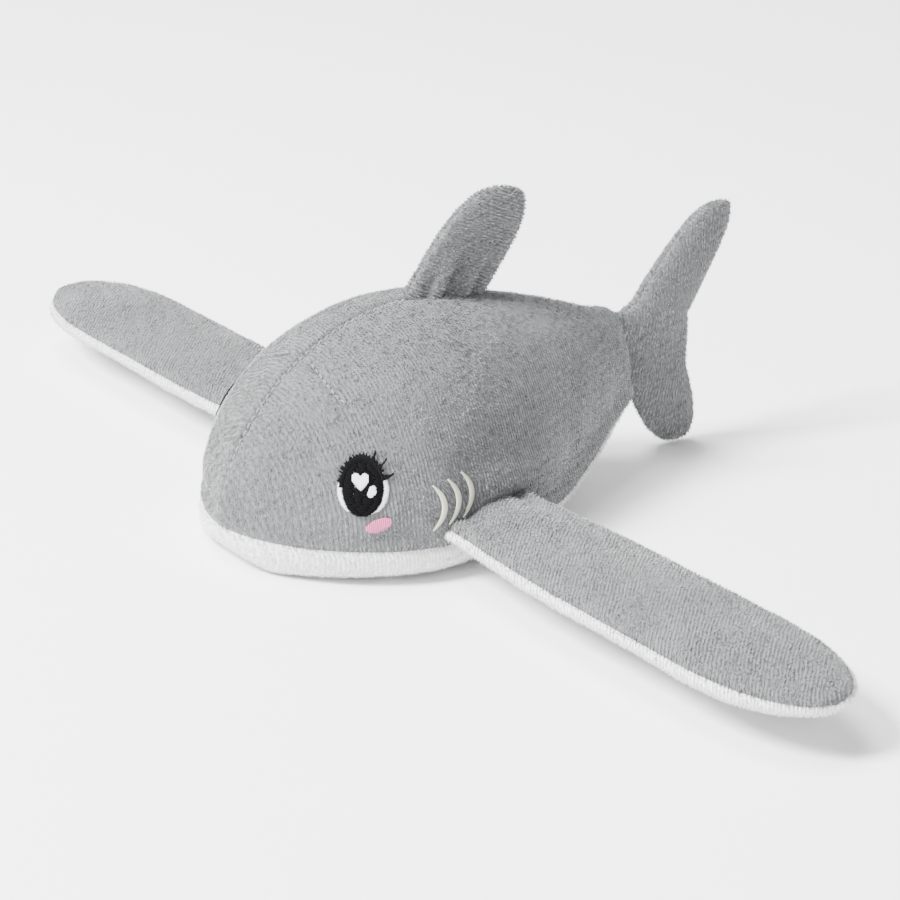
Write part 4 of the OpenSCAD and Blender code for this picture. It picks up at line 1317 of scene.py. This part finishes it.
# ---------------------------------------------------------------- inside pieces
def soft_copy(node, name, lump, seed, squeeze=1.0):
    """A fluffier copy of a filling solid: merged, subdivided, gently lumped
    inwards, and squeezed where its skins pinch it."""
    longest = 0.006
    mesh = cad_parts[node].data.copy()
    mesh.name = name
    work = bmesh.new()
    work.from_mesh(mesh)
    bmesh.ops.remove_doubles(work, verts=work.verts, dist=1e-6)
    long_edges = [e for e in work.edges if e.calc_length() > longest]
    bmesh.ops.subdivide_edges(work, edges=long_edges, cuts=2, use_grid_fill=True)
    bmesh.ops.triangulate(work, faces=work.faces)
    work.normal_update()
    for v in work.verts:
        p = np.array([v.co]) * 1000
        v.co -= v.normal * lump * 0.001 * float(0.5 + 0.5 * swell(p, 7, seed)[0])
        v.co.y *= squeeze
        if node == "body_stuffing":
            # It stays under the swelling skin, and clear of the tail's root.
            x, z = p[0, 0] - X_SHIFT, p[0, 2]
            room = max(0.5, float(skin_y(np.array(x), np.array(z))) - FABRIC - 2.6) / 1000
            v.co.y = max(-room, min(room, v.co.y))
            v.co.x = max(v.co.x, (TAIL_X + X_SHIFT + 4) / 1000)
    work.to_mesh(mesh)
    work.free()
    mesh.materials.clear()
    mesh.materials.append(fibre_filling())
    piece = bpy.data.objects.new(name, mesh)
    bpy.context.scene.collection.objects.link(piece)
    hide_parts(node)
    return piece


class SHARK_OT_filling(bpy.types.Operator):
    """Fibre filling of the body and fins, and the covered strips inside the side fins"""
    bl_idname = "shark.filling"
    bl_label = "Filling and strips"

    def execute(self, context):
        # Each filling: its node, its body, depth of its lumps, how full it is, and its squeeze.
        jobs = [("body_stuffing", "torso", 0.6, 0.85, 1.0), ("back_fin_stuffing", "back_fin", 0.5, 0.7, 0.42),
                ("tail_stuffing", "tail", 0.5, 0.75, 0.75)]
        for name, _ in SIDES:
            jobs += [(f"fin_wadding_{name}_{i}", f"fin_{name}_{i}", 0.12, 0.6, 1.0) for i in (1, 2, 3, 4)]
        for k, (node, body, lump, fill, squeeze) in enumerate(jobs):
            piece = soft_copy(node, node + "_fibre", lump, 80 + k, squeeze)
            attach(piece, body)
        for node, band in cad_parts.items():
            if node.startswith("fin_band"):
                if not band.material_slots:
                    band.data.materials.append(film_cover())
                for slot in band.material_slots:
                    slot.material = film_cover()
        return {"FINISHED"}


# ---------------------------------------------------------------- stage
# Each lamp: its name, place in metres, side in metres and power in watts.
LAMPS = (("key", (1.0, -0.2, 1.1), 0.5, 95.0),
         ("fill", (0.9, 1.4, 0.6), 1.0, 8.0),
         ("top", (0.1, -0.5, 1.6), 0.9, 42.0))
LIT_POINT = Vector((0, 0, 0.03))
SKY = 0.75
# The camera: where it looks from, in degrees, its distance and offsets from the
# pattern's origin in millimetres, and its lens.
CAMERA_TURN, CAMERA_RISE, CAMERA_TILT = 145.997, 21.134, -0.425
CAMERA_RIGHT, CAMERA_UP, CAMERA_AWAY = 20.931, 19.164, 956.37
CAMERA_LENS = 139.71


class SHARK_OT_stage(bpy.types.Operator):
    """Pale floor, soft studio lights and the camera"""
    bl_idname = "shark.stage"
    bl_label = "Stage"

    def execute(self, context):
        bpy.ops.object.select_all(action="DESELECT")
        bpy.ops.mesh.primitive_plane_add(size=12, location=(0, 0, -0.0002))
        floor = context.object
        floor.name = "studio_floor"
        material, tree, base = start_material(
            "matt_white_paper", **{"Roughness": 0.9, "Specular IOR Level": 0.1})
        if tree:
            place = add_node(tree, "ShaderNodeTexCoord").outputs["Object"]
            grain = add_node(tree, "ShaderNodeTexNoise", {"Vector": place, "Scale": 40.0}).outputs["Fac"]
            colour = add_node(tree, "ShaderNodeMix",
                              {"Factor": grain, "A": hex_colour("fbfbfb"), "B": hex_colour("fefefe")},
                              data_type="RGBA").outputs["Result"]
            tree.links.new(colour, base.inputs["Base Color"])
        floor.data.materials.append(material)

        world = bpy.data.worlds.new("studio")
        context.scene.world = world
        world.use_nodes = True
        background = world.node_tree.nodes["Background"].inputs
        background["Color"].default_value = hex_colour("ffffff")
        background["Strength"].default_value = SKY
        for name, place, size, watts in LAMPS:
            lamp = bpy.data.lights.new(name, "AREA")
            lamp.size = size
            lamp.energy = watts
            lamp_object = bpy.data.objects.new(name, lamp)
            lamp_object.location = place
            lamp_object.rotation_mode = "QUATERNION"
            lamp_object.rotation_quaternion = (LIT_POINT - Vector(place)).to_track_quat("-Z", "Y")
            context.scene.collection.objects.link(lamp_object)

        turn, rise, tilt = (math.radians(v) for v in (CAMERA_TURN, CAMERA_RISE, CAMERA_TILT))
        away = Vector((math.sin(turn) * math.cos(rise), -math.cos(turn) * math.cos(rise), math.sin(rise)))
        level = Vector((math.cos(turn), math.sin(turn), 0))
        upright = away.cross(level)
        right = level * math.cos(tilt) + upright * math.sin(tilt)
        up = upright * math.cos(tilt) - level * math.sin(tilt)
        lens = bpy.data.cameras.new("camera")
        lens.sensor_width = 36
        lens.lens = CAMERA_LENS
        lens.clip_start, lens.clip_end = 0.05, 50
        camera = bpy.data.objects.new("camera", lens)
        spot = Vector(row((0, 0, 0)))
        spot += (right * CAMERA_RIGHT + up * CAMERA_UP + away * CAMERA_AWAY) / 1000
        camera.matrix_world = Matrix([(right[k], up[k], away[k], spot[k]) for k in range(3)] + [(0, 0, 0, 1)])
        context.scene.collection.objects.link(camera)
        context.scene.camera = camera
        return {"FINISHED"}


# ---------------------------------------------------------------- add-on
STEPS = ("stage", "back_panels", "seam_thread", "belly_panel", "side_fins", "back_fin", "tail", "face",
         "filling")


class SHARK_PT_panel(bpy.types.Panel):
    """Sizes, colours and steps of the plush shark"""
    bl_label = "Plush Shark"
    bl_idname = "SHARK_PT_panel"
    bl_space_type = "VIEW_3D"
    bl_region_type = "UI"
    bl_category = "Plush Shark"

    def draw(self, context):
        column = self.layout.column()
        for group in (context.scene.shark_pile, context.scene.shark_sewing, context.scene.shark_colours):
            for name in group.__annotations__:
                column.prop(group, name)
        for step in STEPS:
            column.operator("shark." + step)


CLASSES = (SharkPile, SharkSewing, SharkColours, SHARK_OT_stage, SHARK_OT_back_panels,
           SHARK_OT_seam_thread, SHARK_OT_belly_panel, SHARK_OT_side_fins, SHARK_OT_back_fin,
           SHARK_OT_tail, SHARK_OT_face, SHARK_OT_filling, SHARK_PT_panel)


def register():
    for item in CLASSES:
        bpy.utils.register_class(item)
    bpy.types.Scene.shark_pile = PointerProperty(type=SharkPile)
    bpy.types.Scene.shark_sewing = PointerProperty(type=SharkSewing)
    bpy.types.Scene.shark_colours = PointerProperty(type=SharkColours)


def unregister():
    del bpy.types.Scene.shark_pile, bpy.types.Scene.shark_sewing, bpy.types.Scene.shark_colours
    for item in reversed(CLASSES):
        bpy.utils.unregister_class(item)


def main():
    register()
    for step in STEPS:
        getattr(bpy.ops.shark, step)()


if __name__ == "__main__":
    main()
